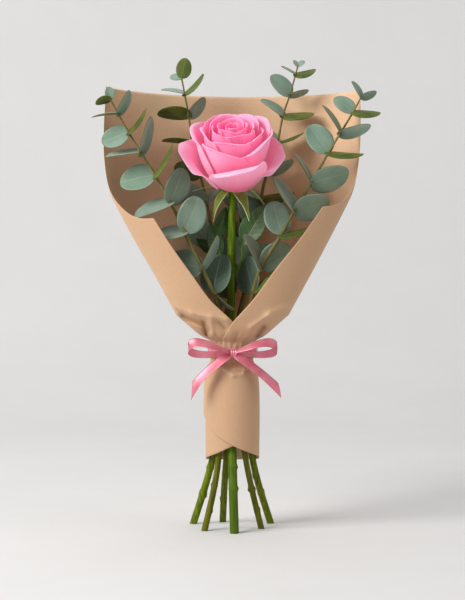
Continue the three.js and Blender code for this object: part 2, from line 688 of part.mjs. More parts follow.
function ribbonBow() {
  const { width, bandRadius, bandSides, knot, knotFront } = RIBBON;
  const inner = bandRadius;
  const outer = bandRadius + SHEET_THICKNESS.ribbon;
  const section = [
    [inner, -width / 2], [outer, -width / 2], [outer, width / 2], [inner, width / 2], [inner, -width / 2],
  ];
  const band = new THREE.LatheGeometry(section.map(([r, h]) => new THREE.Vector2(r, h)), bandSides)
    .rotateX(Math.PI / 2)
    .translate(0, 0, NECK_HEIGHT);
  const middle = new THREE.SphereGeometry(1, 10, 8)
    .scale(...knot)
    .translate(0, -knotFront, NECK_HEIGHT);
  const loops = [-1, 1].map((side) =>
    ribbonStrip({
      route: BOW_LOOP.route.map(([x, y, z]) => [side * x, y, z]),
      lay: vector(BOW_LOOP.lay),
      steps: BOW_LOOP.steps,
    }),
  );
  const tails = BOW_TAILS.map(({ route, lay, steps }) =>
    ribbonStrip({ route, lay: vector(lay).normalize(), steps }),
  );
  return [solidFromGeometry(middle), ...loops, ...tails].reduce(
    (whole, piece) => whole.add(piece),
    solidFromGeometry(band),
  );
}

// ---------------------------------------------------------------- the bunch

// Each mesh gets its own copy of one of these.
const MATERIALS = {
  paper: new THREE.MeshStandardMaterial({ color: 0xc79b73, roughness: 0.85, metalness: 0 }),
  petal: new THREE.MeshStandardMaterial({ color: 0xff86b6, roughness: 0.55, metalness: 0 }),
  sepal: new THREE.MeshStandardMaterial({ color: 0x9db35c, roughness: 0.6, metalness: 0 }),
  rose_green: new THREE.MeshStandardMaterial({ color: 0x3f7a12, roughness: 0.45, metalness: 0 }),
  rose_leaf: new THREE.MeshStandardMaterial({ color: 0x24401f, roughness: 0.5, metalness: 0 }),
  eucalyptus: new THREE.MeshStandardMaterial({ color: 0x6f8f80, roughness: 0.65, metalness: 0 }),
  ribbon: new THREE.MeshStandardMaterial({ color: 0xd9728c, roughness: 0.3, metalness: 0 }),
};

const bunch = new THREE.Group();

function addPiece(name, solid, material) {
  const mesh = new THREE.Mesh(geometryOf(solid), material.clone());
  mesh.name = name;
  bunch.add(mesh);
}

addPiece("kraft_wrap", kraftWrap(), MATERIALS.paper);
addPiece("ribbon_bow", ribbonBow(), MATERIALS.ribbon);
addPiece("rose_stem", roseStem(), MATERIALS.rose_green);
for (const [name, leaf] of Object.entries(ROSE_LEAVES)) {
  addPiece(name, roseLeaf(leaf), MATERIALS.rose_leaf);
}
SEPAL_SET.forEach((sepal, i) => addPiece(`sepal_${i + 1}`, sepalSolid(sepal), MATERIALS.sepal));
for (const [name, solid] of petals()) {
  addPiece(name, solid, MATERIALS.petal);
}
for (const name of Object.keys(LEAF_PAIRS)) {
  addPiece(name, eucalyptusBranch(name), MATERIALS.eucalyptus);
}

// The origin is the middle of the bounding box's base.
const middleOfBase = new THREE.Box3().setFromObject(bunch).getCenter(new THREE.Vector3()).setZ(0);
bunch.position.copy(middleOfBase).negate();

export default bunch;
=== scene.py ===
"""A pink rose and five eucalyptus branches, rolled in kraft paper and tied with a satin bow.

Sizes in the tables below are millimetres, measured from the point where the stems' axis meets the
floor. +Z is up and -Y is the front.
"""

import json
import math

import bmesh
import bpy
from bpy.props import FloatProperty, FloatVectorProperty, IntProperty, PointerProperty
from mathutils import Matrix, Vector


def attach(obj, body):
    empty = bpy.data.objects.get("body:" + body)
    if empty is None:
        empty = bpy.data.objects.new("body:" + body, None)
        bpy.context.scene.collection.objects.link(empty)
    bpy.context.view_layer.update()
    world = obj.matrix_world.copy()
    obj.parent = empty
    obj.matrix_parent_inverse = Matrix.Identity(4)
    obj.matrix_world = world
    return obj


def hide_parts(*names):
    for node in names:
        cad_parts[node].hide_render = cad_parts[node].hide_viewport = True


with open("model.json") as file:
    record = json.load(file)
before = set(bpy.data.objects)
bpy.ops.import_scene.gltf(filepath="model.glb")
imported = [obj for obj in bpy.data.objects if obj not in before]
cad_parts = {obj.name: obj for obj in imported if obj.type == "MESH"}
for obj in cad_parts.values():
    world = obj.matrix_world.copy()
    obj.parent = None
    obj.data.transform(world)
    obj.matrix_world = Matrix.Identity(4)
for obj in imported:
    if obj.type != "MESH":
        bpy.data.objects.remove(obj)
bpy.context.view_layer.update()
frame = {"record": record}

bl_info = {
    "name": "Wrapped rose bouquet",
    "version": (1, 0, 0),
    "blender": (4, 5, 0),
    "location": "3D View > Sidebar > Bouquet",
    "description": "Builds a rose and eucalyptus bunch in kraft paper with a satin bow",
    "category": "Add Mesh",
}

# ---------------------------------------------------------------- sizes shared with the frame

# Metres in a millimetre, the rose's foot in the tables' frame, and where that frame stands.
MM = 0.001
ROSE_FOOT = Vector((1.7, -29, 0))
BUNCH_AXIS = Vector(frame["record"]["mounts"][0]["pos_m"]) - ROSE_FOOT * MM

# Height of the ribbon's middle, where the paper is tied.
NECK_HEIGHT = 160

# Points closer than this become one, where the edges of a sheet meet and at the ends of a leaf.
SEAM_GAP = 1e-4
POINT_GAP = 1e-3

# Steps across and along each kind of sheet, or round and along each tube.
STEPS = {
    "kraft": (230, 170),
    "band": (8, 120),
    "strip": (10, 56),
    "knot": (14, 30),
    "rose_stem": (24, 300),
    "hip": (24, 24),
    "eucalyptus_stem": (14, 320),
    "petiole": (12, 30),
    "rose_leaf": (20, 78),
    "sepal": (16, 70),
    "petal": (40, 56),
    "floor": (24, 90),
}

# Kraft wrap: half width, depth behind the bundle and depth in front of it, at each height.
WRAP_SECTIONS = [
    (55, 24, 24, 24),
    (128, 24, 24, 24),
    (146, 21, 21, 21),
    (152, 17.8, 17.8, 17.8),
    (169, 18.2, 18.2, 18.2),
    (174, 27.5, 23, 23),
    (180, 35.5, 27, 27),
    (193, 50.5, 33, 32),
    (215, 62.5, 39, 37),
    (251, 82.5, 46, 42),
    (287, 101.5, 52, 43),
    (305, 109.5, 54, 42),
    (327, 113.5, 56, 38),
    (350, 115, 59, 32),
    (400, 114, 62, 20),
]
# How far the right flap stands off the left one, the height of the sharp fold above the neck, and
# the power of the front's curve at that fold and in the flaps. 1 is round and 0 is flat.
WRAP_LAP = 1.6
FOLD_HEIGHT = 193
FOLD_SQUARENESS = 0.55
FLAP_SQUARENESS = 0.75

# The edges of the sheet as (turn from the middle of the back, height). The right flap lies
# outside the left one.
LEFT_EDGE = [
    (-240, 84), (-240, 120), (-238, 150), (-225, 163), (-196, 174), (-180, 188), (-161, 206),
    (-150, 228), (-140.5, 254), (-134.5, 279),
]
RIGHT_EDGE = [
    (280, 112), (280, 130), (268, 150), (228, 161), (197, 173), (180, 187), (162, 208),
    (150, 233), (138, 262), (130, 289),
]
TOP_EDGE = [
    (-134.5, 279), (-124, 279), (-113, 283), (-103, 293), (-96, 307), (-92.5, 327), (-90, 398),
    (-60, 397), (-25, 395), (0, 394), (25, 394), (60, 394.5), (90, 395), (93, 330), (97, 312),
    (106, 299), (117, 291.5), (130, 289),
]
BOTTOM_EDGE = [
    (-240, 84), (-183, 77), (-140, 69), (-90, 63), (-45, 60), (0, 59), (45, 60), (90, 63.5),
    (140, 70), (178, 77), (225, 90), (280, 112),
]
SIDE_STOPS = [0, 0.14, 0.3, 0.4, 0.5, 0.58, 0.67, 0.77, 0.89, 1]
TOP_STOPS = [
    0, 0.05, 0.1, 0.14, 0.17, 0.2, 0.25, 0.34, 0.43, 0.5, 0.57, 0.66, 0.75, 0.8, 0.83, 0.87,
    0.93, 1,
]
TOP_CORNERS = (6, 12)
BOTTOM_STOPS = [0, 0.1, 0.18, 0.27, 0.39, 0.5, 0.61, 0.73, 0.8, 0.86, 0.93, 1]

# Folds pressed into the front of the paper: from (x, z) to (x, z), half width, and how far it
# stands out, or in where it is below 0.
FRONT_FOLDS = [
    ((-51, 200), (-36, 195), 3.0, 3.2),
    ((-36, 195), (-5, 189.6), 2.8, 3.2),
    ((-44, 192.5), (-22, 181), 5.2, -7.4),
    ((-37, 184.5), (-23, 181.5), 3.4, 5.0),
    ((-25.5, 187.5), (-23, 176), 2.0, -4.5),
    ((-19, 191.5), (-17.5, 176.5), 2.3, 3.6),
    ((-12, 187.5), (-7, 182), 2.8, -3.6),
    ((50, 203), (31.5, 194.5), 3.0, 3.0),
    ((31.5, 194.5), (15.5, 183), 2.6, 3.4),
    ((27.5, 183), (21.5, 175), 3.2, -7.0),
    ((18.5, 177), (15.5, 169), 2.2, 2.4),
    ((32.5, 185), (30.5, 180), 3.0, 3.0),
    ((4.5, 177), (1.5, 168), 2.4, -2.8),
    ((-8.5, 159.5), (-8, 146.5), 1.9, 2.4),
    ((-8, 146.5), (0, 140), 2.0, 2.4),
    ((0, 140), (9, 141.5), 2.0, 2.4),
    ((9, 141.5), (12, 150.5), 2.0, 2.2),
    ((14.5, 160.5), (13.8, 144.5), 1.8, -3.2),
    ((2, 154.5), (2, 146.5), 6.0, 1.4),
    ((-11, 150.5), (-22, 122.5), 3.0, -2.4),
    ((17.5, 160.5), (21, 143.5), 3.0, 1.6),
]
# Fold depth that takes the tone of the painted fold shade and ridge highlight from the middle of its range
# to its end.
FULL_FOLD_SHADE = 6

# Fine pleats round the neck, and how far up and down they fade.
GATHERS = 21
GATHER_REACH = 13

# Bloom, on its own axis, which leans forwards. Whorls from the heart outwards: petal turns (270 is
# the front), spread to each side in degrees, foot and rim as (radius, height), widest radius and
# its share low down (bowl), lap over the next petal, width of the lip as a share of the petal, the
# degrees that it rolls, and how far the sides fall off in a point (peak) and at the corners.
BLOOM_BASE = Vector((0, 8, 309))
BLOOM_FRAME = Matrix.Translation(BLOOM_BASE) @ Matrix.Rotation(math.radians(33), 4, "X")
PETAL_LENGTH = 66
WHORLS = {
    "heart": dict(turns=(20, 140, 260), spread=112, foot=(2, 12.5), belly=6, rim=(5.2, 62),
                  lap=1.0, lip=0.05, roll=20, peak=0, corner=0.1, bowl=1),
    "inner": dict(turns=(75, 165, 255, 345), spread=82, foot=(3, 10), belly=12.5, rim=(11.5, 63),
                  lap=1.3, lip=0.06, roll=40, peak=0, corner=0.1, bowl=1),
    "middle": dict(turns=(30, 120, 210, 300), spread=76, foot=(3.8, 7.5), belly=19, rim=(18, 63.5),
                   lap=1.4, lip=0.08, roll=65, peak=0.01, corner=0.13, bowl=1),
    "upper": dict(turns=(52, 124, 196, 266, 338), spread=60, foot=(4.4, 5), belly=24,
                  rim=(25, 61), lap=1.4, lip=0.09, roll=80, peak=0.02, corner=0.15, bowl=0.95),
    "lower": dict(turns=(100, 178, 252, 322, 30), spread=58, foot=(4.8, 2.5), belly=28.5,
                  rim=(33, 56.5), lap=1.4, lip=0.09, roll=95, peak=0.04, corner=0.16, bowl=0.8),
    "guard": dict(turns=(90, 192, 271, 345), spread=51, foot=(5, 0), belly=31.5, rim=(43.5, 46.5),
                  lap=1.4, lip=0.11, roll=125, peak=0.04, corner=0.15, bowl=0.62),
}
# Petals that stand out of line. lift raises the lip as a share of the petal's length, lean raises
# one side of it, stand carries the whole petal outwards and point draws out the middle of its lip.
ODD_PETALS = {
    ("upper", 124): dict(lift=0.02),
    ("lower", 178): dict(lift=0.07, lean=-0.02, peak=0.06),
    ("lower", 30): dict(lift=0.05, lean=0.02, peak=0.06),
    ("lower", 252): dict(lean=-0.07),
    ("lower", 322): dict(lift=0.04, lean=0.12),
    ("guard", 271): dict(lift=-0.01, lean=0.2, peak=0.05, spread=50, stand=1.8, bowl=0.68),
    ("guard", 192): dict(
        lift=0.04, lean=-0.18, peak=0.24, spread=48, belly=34, bowl=0.7, rim=(35, 46), point=6.5,
        lip=0.3, roll=80,
    ),
    ("guard", 345): dict(
        lift=0.03, lean=0.18, peak=0.21, spread=60, belly=35, bowl=0.7, rim=(37, 45), point=6.5,
        lip=0.3, roll=80,
    ),
}
# The hip's outline as (radius, height) on the bloom's axis.
HIP_OUTLINE = [
    (3.2, -9), (5, -6.5), (5.6, -4), (4.9, -1.6), (4.0, -0.6), (3.8, 1.5), (3.4, 4), (2.9, 6.5),
    (2.2, 9), (1.1, 12),
]

# Sepals as (turn, slope at the foot, slope at the tip), with their length, half width and the
# place of their feet on the bloom's axis.
SEPALS = [(20, -12, -60), (90, -20, -100), (160, 4, -16), (216, -40, -86), (309, -40, -76)]
SEPAL_LENGTH = 32
SEPAL_HALF_WIDTH = 7.2
SEPAL_RING_RADIUS = 7
SEPAL_RING_HEIGHT = -3

# Stem routes from the cut end upwards, with the radius at the cut end and at the top.
STEMS = {
    "rose_stem": ((4.1, 3.3), [
        (1.7, -29, 0), (0, -18.3, 60), (-2, -1, 160), (-1.6, 1.5, 185), (-1, 4, 235),
        (-0.6, 7, 285), (0, 9.5, 303)]),
    "eucalyptus_far_left": ((3.4, 0.7), [
        (35, 26, 0), (18.5, 8, 60), (9.2, -7.7, 160), (-4.5, -12.5, 181), (-17.5, -15, 214),
        (-27.5, -16, 236), (-37.5, -15.5, 256), (-55.5, -13.5, 293.5), (-69.5, -12.5, 318),
        (-93, -12, 356.5), (-109, -13, 385.5)]),
    "eucalyptus_left": ((2.9, 0.7), [
        (26, -5, 0), (12.5, -11, 60), (-1, -12, 160), (-9, -4.5, 185), (-13, 8, 213),
        (-17, 21, 251), (-21.5, 28, 282), (-27, 32.5, 309), (-33, 35, 332), (-37.5, 35, 352),
        (-40, 34, 373), (-43, 32, 389.5), (-46.5, 28, 408)]),
    "eucalyptus_right": ((3.5, 0.7), [
        (-36, 24, 0), (-18.5, 6, 60), (-0.5, 12, 160), (5, 17, 186), (16, 23, 233),
        (23.5, 30, 274), (28, 34, 308), (32, 36, 322), (41.5, 36.5, 351), (46.5, 35, 375),
        (52.5, 32, 393), (60, 27, 420)]),
    "eucalyptus_far_right": ((3.3, 0.7), [
        (-9, 34, 0), (-5.5, 18, 60), (8.9, 8, 160), (13, 3, 184), (19, -4, 215),
        (25.5, -7, 235), (42.5, -10.5, 263), (54, -12, 284), (70, -12.5, 310.5),
        (86, -13, 338.5), (107.5, -13, 374), (115.5, -13, 389)]),
    "eucalyptus_back": ((3.1, 0.9), [
        (-25, -16, 0), (-13, -13.5, 60), (-11.1, 4.5, 160), (-8, 13, 185), (-3, 22, 205),
        (2, 33, 240), (6, 41, 274), (8, 45, 297)]),
}

# Swelling of a stem at a node, as a share of its radius, and how far a node and a scar reach up
# and down it.
NODE_SWELL = 0.35
NODE_REACH = 1.3
SCAR_REACH = 1.7

# Leaf scars on the stems, most of them below the paper: (height, heading in degrees, size). A
# heading of 0 is the right side and 270 the front.
SCARS = {
    "rose_stem": [(38.5, 330, 1.3), (57.5, 350, 0.8), (246, 250, 0.6)],
    "eucalyptus_far_left": [(46, 200, 0.8), (30, 20, 0.5)],
    "eucalyptus_left": [(37, 190, 1.1), (17, 10, 0.7), (36, 350, 0.7)],
    "eucalyptus_right": [(28.5, 340, 1.4), (29, 170, 0.9), (54, 200, 0.6)],
    "eucalyptus_far_right": [(45.5, 350, 1.1), (22, 170, 0.7)],
    "eucalyptus_back": [(41, 180, 0.7), (18, 0, 0.5)],
}
# How brown (0) or fresh green (1) each stem is at its foot.
FRESHNESS = {
    "eucalyptus_far_left": 0.7,
    "eucalyptus_left": 0.25,
    "eucalyptus_right": 1.0,
    "eucalyptus_far_right": 0.5,
    "eucalyptus_back": 0.35,
}

# Leaf pairs of each branch, from the tip down: height on the stem, then for each leaf its
# heading in the front view (0 right, 90 up), roll about its midrib (past 90 it shows its
# underside), length and lean towards the front.
LEAF_PAIRS = {
    "eucalyptus_far_left": [
        (385, (192, 124, 15, 8), (95, 10, 12, -10)),
        (372, (181, 84, 27, 0), (59, 71, 26, 4)),
        (356, (198, 20, 27, -8), (46, 105, 30, 8)),
        (338, (182, 76, 36, 0), (68, 75, 37, 0)),
        (318, (190, 28, 34, -8), (54, 103, 37, 10)),
        (293, (196, 66, 38, 6), (66, 36, 35, -4)),
        (267, (187, 62, 34, 8), (67, 16, 35, -6)),
        (235, (172, 14, 37, -10), (59, 76, 36, 8)),
        (213, (-44, 80, 28, 14), (80, -20, 38, -14)),
    ],
    "eucalyptus_left": [
        (408, (76, 170, 19, 10), (168, 40, 12, -12)),
        (394, (164, 75, 25, -4), (40, 108, 28, 4)),
        (374, (171, 117, 32, 6), (43, 58, 25, -6)),
        (348, (168, 98, 32, 0), (30, -60, 22, -12)),
        (320, (160, 150, 26, -10), (40, -60, 20, -14)),
        (294, (150, -28, 30, -8), (54, -66, 22, -4)),
        (258, (140, -20, 34, -8), (60, 40, 28, -10)),
    ],
    "eucalyptus_right": [
        (419, (125, 40, 7, 0), (40, -40, 8, 0)),
        (411, (143, 75, 17, 0), (8, 119, 21, 4)),
        (393, (130, 37, 26, 4), (8, 71, 20, -4)),
        (375, (140, 66, 28, 0), (-4, 112, 32, 8)),
        (350, (131, 74, 33, -8), (14, 98, 29, 4)),
        (323, (150, 60, 24, -14), (18, 65, 29, -4)),
        (298, (156, 68, 24, -6), (4, 112, 34, -2)),
        (272, (112, 20, 34, -6), (50, -24, 30, -12)),
        (236, (120, 22, 32, -4), (48, -40, 30, -6)),
    ],
    "eucalyptus_far_right": [
        (387, (115, 64, 18, 2), (13, 58, 16, 0)),
        (374, (140, 30, 22, -6), (-10, 115, 27, 8)),
        (355, (117, 76, 33, 0), (8, 66, 31, 0)),
        (338, (124, 16, 31, -6), (-10, 107, 35, 10)),
        (311, (115, 78, 34, 0), (12, 40, 38, -6)),
        (286, (117, 68, 39, 8), (12, 30, 35, -6)),
        (265, (103, 12, 33, -14), (7, 102, 36, 8)),
        (236, (113, 70, 37, 14), (36, 14, 33, -10)),
        (215, (108, -40, 38, -30), (38, 104, 29, 12)),
    ],
    "eucalyptus_back": [
        (290, (125, 20, 27, -4), (84, -18, 26, -4)),
        (262, (104, 60, 22, 0), (60, -30, 26, -8)),
        (232, (94, 4, 30, 4), (140, 30, 26, 0)),
        (208, (72, 72, 27, 12), (104, -20, 30, -14)),
    ],
}

# Leaves that lean back are in the paper's shade below the first height and out of it above the second.
SHADE_HEIGHTS = (214, 240)

# Blades. width is a share of the length, cup and lip lift the edges and drop the tip, lobes is the
# share of the blade behind its foot, face on and edge on, widest is the place of the full width,
# fullness and round shape the outline between there and the ends.
EUCALYPTUS_BLADE = dict(
    width=0.76, cup=0.14, lip=0.1, lobes=(0.02, 0.12), teeth=0, widest=0.45, fullness=2, round=0.5
)
ROSE_BLADE = dict(
    width=0.52, cup=0.14, lip=0.1, lobes=(0, 0), teeth=13, widest=0.4, fullness=1.7, round=0.75
)

# The rose's own leaves: height, petiole's reach, then each leaflet's place along the petiole.
ROSE_LEAVES = {
    "rose_leaf_right": (231, (5.5, -1, 24), [(1, (60, -16, 44, 0))]),
    "rose_leaf_left": (230, (-8.5, 2, 33), [
        (1, (69, 30, 28, -4)), (0.5, (106, 14, 30, 4)), (0.6, (152, -24, 24, -2))]),
}
ROSE_NODE_HEIGHT = 231
PETIOLE_START = 4.7
PETIOLE_RADII = (1.3, 0.8)

# Ribbon routes: the right loop, which the left one mirrors, and the two ends, -1 for the left.
BOW_LOOP = [
    (2.0, -26.2, 160.5), (12, -30, 164.5), (24, -32, 168.6), (34, -31, 169), (39.3, -28, 164.4),
    (36, -25.4, 160.2), (26, -25, 158.3), (13, -25.8, 158.6), (2.5, -25.8, 159.3),
]
BOW_TAILS = {
    -1: [(-0.5, -26.6, 158.5), (-8, -28, 155.2), (-15.5, -28, 149.4), (-23.6, -27.5, 142.4),
         (-31.6, -26, 133.5), (-39.5, -23.5, 120.5)],
    1: [(1, -26.6, 158.5), (9.5, -28, 154), (18.8, -28, 147), (27.6, -27.5, 140),
        (36.4, -26, 132), (46, -23.5, 122.5)],
}
BAND_RADIUS = 22.3
KNOT = dict(centre=Vector((0.9, -26.3, 159.5)), half_width=2.7, depth=1.9, rise=3.3)

# Stage, in metres. The floor runs back from its near edge and turns up in a round bend.
FLOOR_WIDTH = 12
FLOOR_NEAR = -4.2
FLOOR_RUN = 5
FLOOR_BEND = 1.2
SWEEP_LENGTH = 9
CAMERA_PLACE = Vector((0, -1.5, 0.25))
CAMERA_AIM = Vector((0, 0, 0.206))
BUNCH_MIDDLE = Vector((0, 0, 0.22))
BACKDROP_MIDDLE = Vector((0, 2.4, 0.6))


# ---------------------------------------------------------------- what a user would change


def pigment(*screen):
    """A screen colour, 0 to 255, as the linear colour that a shader takes."""
    return tuple(((c / 255 + 0.055) / 1.055) ** 2.4 if c > 10 else c / 3294.6 for c in screen)


def colour(name, description, default):
    return FloatVectorProperty(
        name=name, description=description, subtype="COLOR", size=3, min=0, max=1, default=default
    )


def length(name, description, default):
    return FloatProperty(name=name, description=description, unit="LENGTH", min=0, default=default)


def power(name, description, default):
    return FloatProperty(name=name, description=description, unit="POWER", default=default)


class PaperSettings(bpy.types.PropertyGroup):
    thickness: length("Thickness", "Thickness of the kraft paper", 0.00035)
    kraft: colour("Kraft", "Outer face of the paper", pigment(197, 160, 127))
    # Lighter than the outer face: painted light that makes up for the light the shaded inside of the wrap
    # lacks.
    inside: colour("Inside", "Inner face of the paper", pigment(226, 190, 154))
    fibre: colour("Fibre", "Colour of the darker fibres", pigment(168, 122, 86))
    gather: length("Gather", "Depth of the gathers at the neck", 0.0011)


class RibbonSettings(bpy.types.PropertyGroup):
    width: length("Width", "Width of the satin ribbon", 0.010)
    thickness: length("Thickness", "Thickness of the ribbon", 0.0003)
    satin: colour("Satin", "Colour of the ribbon", pigment(214, 108, 128))


class RoseSettings(bpy.types.PropertyGroup):
    petal_thickness: length("Petal thickness", "Thickness of a petal", 0.0005)
    pale: colour("Pale", "Colour of the outer petals", pigment(255, 170, 201))
    rich: colour("Rich", "Colour of the inner petals", pigment(255, 102, 166))
    green: colour("Stem", "Colour of the rose's stem", pigment(108, 136, 14))
    leaf: colour("Leaf", "Colour of the rose's leaves", pigment(44, 78, 32))
    leaf_thickness: length("Leaf thickness", "Thickness of a rose leaf", 0.0004)
    sepal_thickness: length("Sepal thickness", "Thickness of a sepal", 0.0006)


class EucalyptusSettings(bpy.types.PropertyGroup):
    leaf_thickness: length("Leaf thickness", "Thickness of a leaf", 0.0004)
    bloom: colour("Bloom", "Powdery top of a leaf", pigment(134, 160, 142))
    underside: colour("Underside", "Underside of a leaf", pigment(104, 112, 50))
    bark: colour("Bark", "Colour of the upper stems", pigment(134, 122, 80))
    across: IntProperty(name="Steps across", description="Faces across a leaf", min=4, default=12)
    along: IntProperty(name="Steps along", description="Faces along a leaf", min=4, default=22)


class StageSettings(bpy.types.PropertyGroup):
    floor: colour("Floor", "Colour of the floor and backdrop", pigment(228, 228, 228))
    key_power: power("Key", "Power of the main light", 52)
    fill_power: power("Fill", "Power of the fill light", 8)
    backdrop_power: power("Backdrop", "Power of the light on the backdrop", 16.5)
    sky: FloatProperty(name="Sky", description="Strength of the light from all round", default=0.285)


# ---------------------------------------------------------------- shader wiring


class Wire:
    """One shader socket, which adds Math nodes when it is used in a sum."""

    def __init__(self, finish, socket):
        self.finish = finish
        self.socket = socket

    def _maths(self, operation, *values):
        return self.finish.node("ShaderNodeMath", {"operation": operation}, dict(enumerate(values)))

    def __add__(self, other):
        return self._maths("ADD", self, other)

    def __radd__(self, other):
        return self._maths("ADD", other, self)

    def __sub__(self, other):
        return self._maths("SUBTRACT", self, other)

    def __rsub__(self, other):
        return self._maths("SUBTRACT", other, self)

    def __mul__(self, other):
        return self._maths("MULTIPLY", self, other)

    def __rmul__(self, other):
        return self._maths("MULTIPLY", other, self)

    def sine(self):
        return self._maths("SINE", self)

    def size(self):
        return self._maths("ABSOLUTE", self)

    def band(self, low, high):
        """0 below low and 1 above high, with a smooth step between."""
        return self.finish.node(
            "ShaderNodeMapRange",
            {"interpolation_type": "SMOOTHSTEP"},
            {"Value": self, "From Min": low, "From Max": high},
        )


class Finish:
    """One procedural material, with a single method for its nodes."""

    def __init__(self, name, **constants):
        self.material = bpy.data.materials.new(name)
        self.material.use_nodes = True
        self.tree = self.material.node_tree
        self.shader = self.tree.nodes["Principled BSDF"]
        for socket, value in constants.items():
            self.shader.inputs[socket.replace("_", " ")].default_value = value

    def node(self, kind, settings=None, values=None, output=0):
        node = self.tree.nodes.new(kind)
        for setting, value in (settings or {}).items():
            setattr(node, setting, value)
        for socket, value in (values or {}).items():
            self._feed(node.inputs[socket], value)
        return Wire(self, node.outputs[output])

    def _feed(self, socket, value):
        if isinstance(value, Wire):
            self.tree.links.new(value.socket, socket)
        elif hasattr(value, "__len__") and socket.type == "RGBA":
            socket.default_value = (*value[:3], 1)
        else:
            socket.default_value = value

    def mix(self, factor, first, second):
        return self.node(
            "ShaderNodeMix",
            {"data_type": "RGBA", "clamp_factor": True},
            {0: factor, 6: first, 7: second},
            output=2,
        )

    def place(self, scale=(1, 1, 1)):
        """Object coordinates in metres, times scale."""
        where = self.node("ShaderNodeTexCoord", output="Object")
        return self.node("ShaderNodeMapping", {}, {"Vector": where, "Scale": scale})

    def height(self):
        """Height above the floor in metres."""
        return self.node("ShaderNodeSeparateXYZ", {}, {0: self.place()}, output=2)

    def along(self):
        """The piece's own UV map as (across, along)."""
        uv = self.node("ShaderNodeUVMap", {"uv_map": "UVMap"})
        split = self.node("ShaderNodeSeparateXYZ", {}, {0: uv}).socket.node
        return Wire(self, split.outputs[0]), Wire(self, split.outputs[1])

    def fibres(self, across, along, layer=0):
        """Noise that is drawn out along the piece, from its scaled UV map."""
        return self.noise(1, self.node("ShaderNodeCombineXYZ", {}, {0: across, 1: along, 2: layer}), 3)

    def attribute(self, name):
        return self.node("ShaderNodeAttribute", {"attribute_name": name}, output="Fac")

    def noise(self, scale, where, detail=3.0, rough=0.5):
        return self.node(
            "ShaderNodeTexNoise",
            {},
            {"Vector": where, "Scale": scale, "Detail": detail, "Roughness": rough},
        )

    def bump(self, height, strength, distance):
        return self.node(
            "ShaderNodeBump", {}, {"Height": height, "Strength": strength, "Distance": distance}
        )

    def paint(self, **channels):
        for channel, value in channels.items():
            self._feed(self.shader.inputs[channel.replace("_", " ")], value)
        return self.material


# ---------------------------------------------------------------- shapes


def eased(value, low, high):
    share = min(max((value - low) / (high - low), 0), 1)
    return share * share * (3 - 2 * share)


def mixed(first, second, share):
    return first + (second - first) * share


def hermite(first, second, slope_in, slope_out, span, share):
    rest = 1 - share
    return (
        first * (1 + 2 * share) * rest**2
        + slope_in * span * share * rest**2
        + second * share**2 * (3 - 2 * share)
        + slope_out * span * share**2 * (share - 1)
    )


def smooth_row(rows, column, height, fold):
    """The value at a height in a table of rows, on a smooth curve that turns sharply at the fold."""
    last = len(rows) - 1
    height = min(max(height, rows[0][0]), rows[last][0])
    i = next(k for k in range(last) if height <= rows[k + 1][0])

    def slope(k, ahead):
        low = rows[k if rows[k][0] == fold and ahead else max(k - 1, 0)]
        high = rows[k if rows[k][0] == fold and not ahead else min(k + 1, last)]
        return (high[column] - low[column]) / (high[0] - low[0])

    span = rows[i + 1][0] - rows[i][0]
    share = (height - rows[i][0]) / span
    return hermite(rows[i][column], rows[i + 1][column], slope(i, True), slope(i + 1, False), span, share)


def edge_point(points, stops, share, corners=()):
    """The point at a share of an edge, on a smooth curve that turns sharply at its corners."""
    last = len(points) - 1
    i = max(k for k in range(last) if stops[k] <= share or k == 0)

    def slope(k, axis, ahead):
        low = k if k in corners and ahead else max(k - 1, 0)
        high = k if k in corners and not ahead else min(k + 1, last)
        return (points[high][axis] - points[low][axis]) / (stops[high] - stops[low])

    span = stops[i + 1] - stops[i]
    part = (share - stops[i]) / span
    return [
        hermite(points[i][a], points[i + 1][a], slope(i, a, True), slope(i + 1, a, False), span, part)
        for a in (0, 1)
    ]


class Route:
    """A smooth curve through points, the same one that the frame's stems and ribbons follow."""

    def __init__(self, points):
        self.points = [Vector(p) for p in points]

    def at(self, share):
        points = self.points
        last = len(points) - 1
        place = min(max(share, 0), 1) * last
        i = min(int(place), last - 1)
        t = place - i
        p1, p2 = points[i], points[i + 1]
        p0 = points[i - 1] if i > 0 else p1 * 2 - p2
        p3 = points[i + 2] if i < last - 1 else p2 * 2 - p1
        d0, d1, d2 = (math.sqrt(max((b - a).length, 1e-6)) for a, b in ((p0, p1), (p1, p2), (p2, p3)))
        out = ((p1 - p0) / d0 - (p2 - p0) / (d0 + d1) + (p2 - p1) / d1) * d1
        into = ((p2 - p1) / d1 - (p3 - p1) / (d1 + d2) + (p3 - p2) / d2) * d1
        return hermite(p1, p2, out, into, 1, t)

    def heading(self, share):
        return (self.at(share + 0.002) - self.at(share - 0.002)).normalized()

    def at_height(self, height):
        """The first point at a height, on a route that only rises."""
        low, high = 0.0, 1.0
        for _ in range(24):
            middle = (low + high) / 2
            low, high = (low, middle) if self.at(middle).z >= height else (middle, high)
        return self.at(high)


def lay_sheet(bm, surface, across, along, tone=0.5):
    """Lays a grid on surface(u, v), keeps u and v as its UV map and writes its tone."""
    uv = bm.loops.layers.uv.get("UVMap") or bm.loops.layers.uv.new("UVMap")
    shade = bm.verts.layers.float.get("tone") or bm.verts.layers.float.new("tone")
    made = bmesh.ops.create_grid(bm, x_segments=across, y_segments=along, size=0.5)["verts"]
    for vert in made:
        for loop in vert.link_loops:
            loop[uv].uv = (vert.co.x + 0.5, vert.co.y + 0.5)
    for vert in made:
        vert.co = surface(vert.co.x + 0.5, vert.co.y + 0.5)
        vert[shade] = tone
    return made


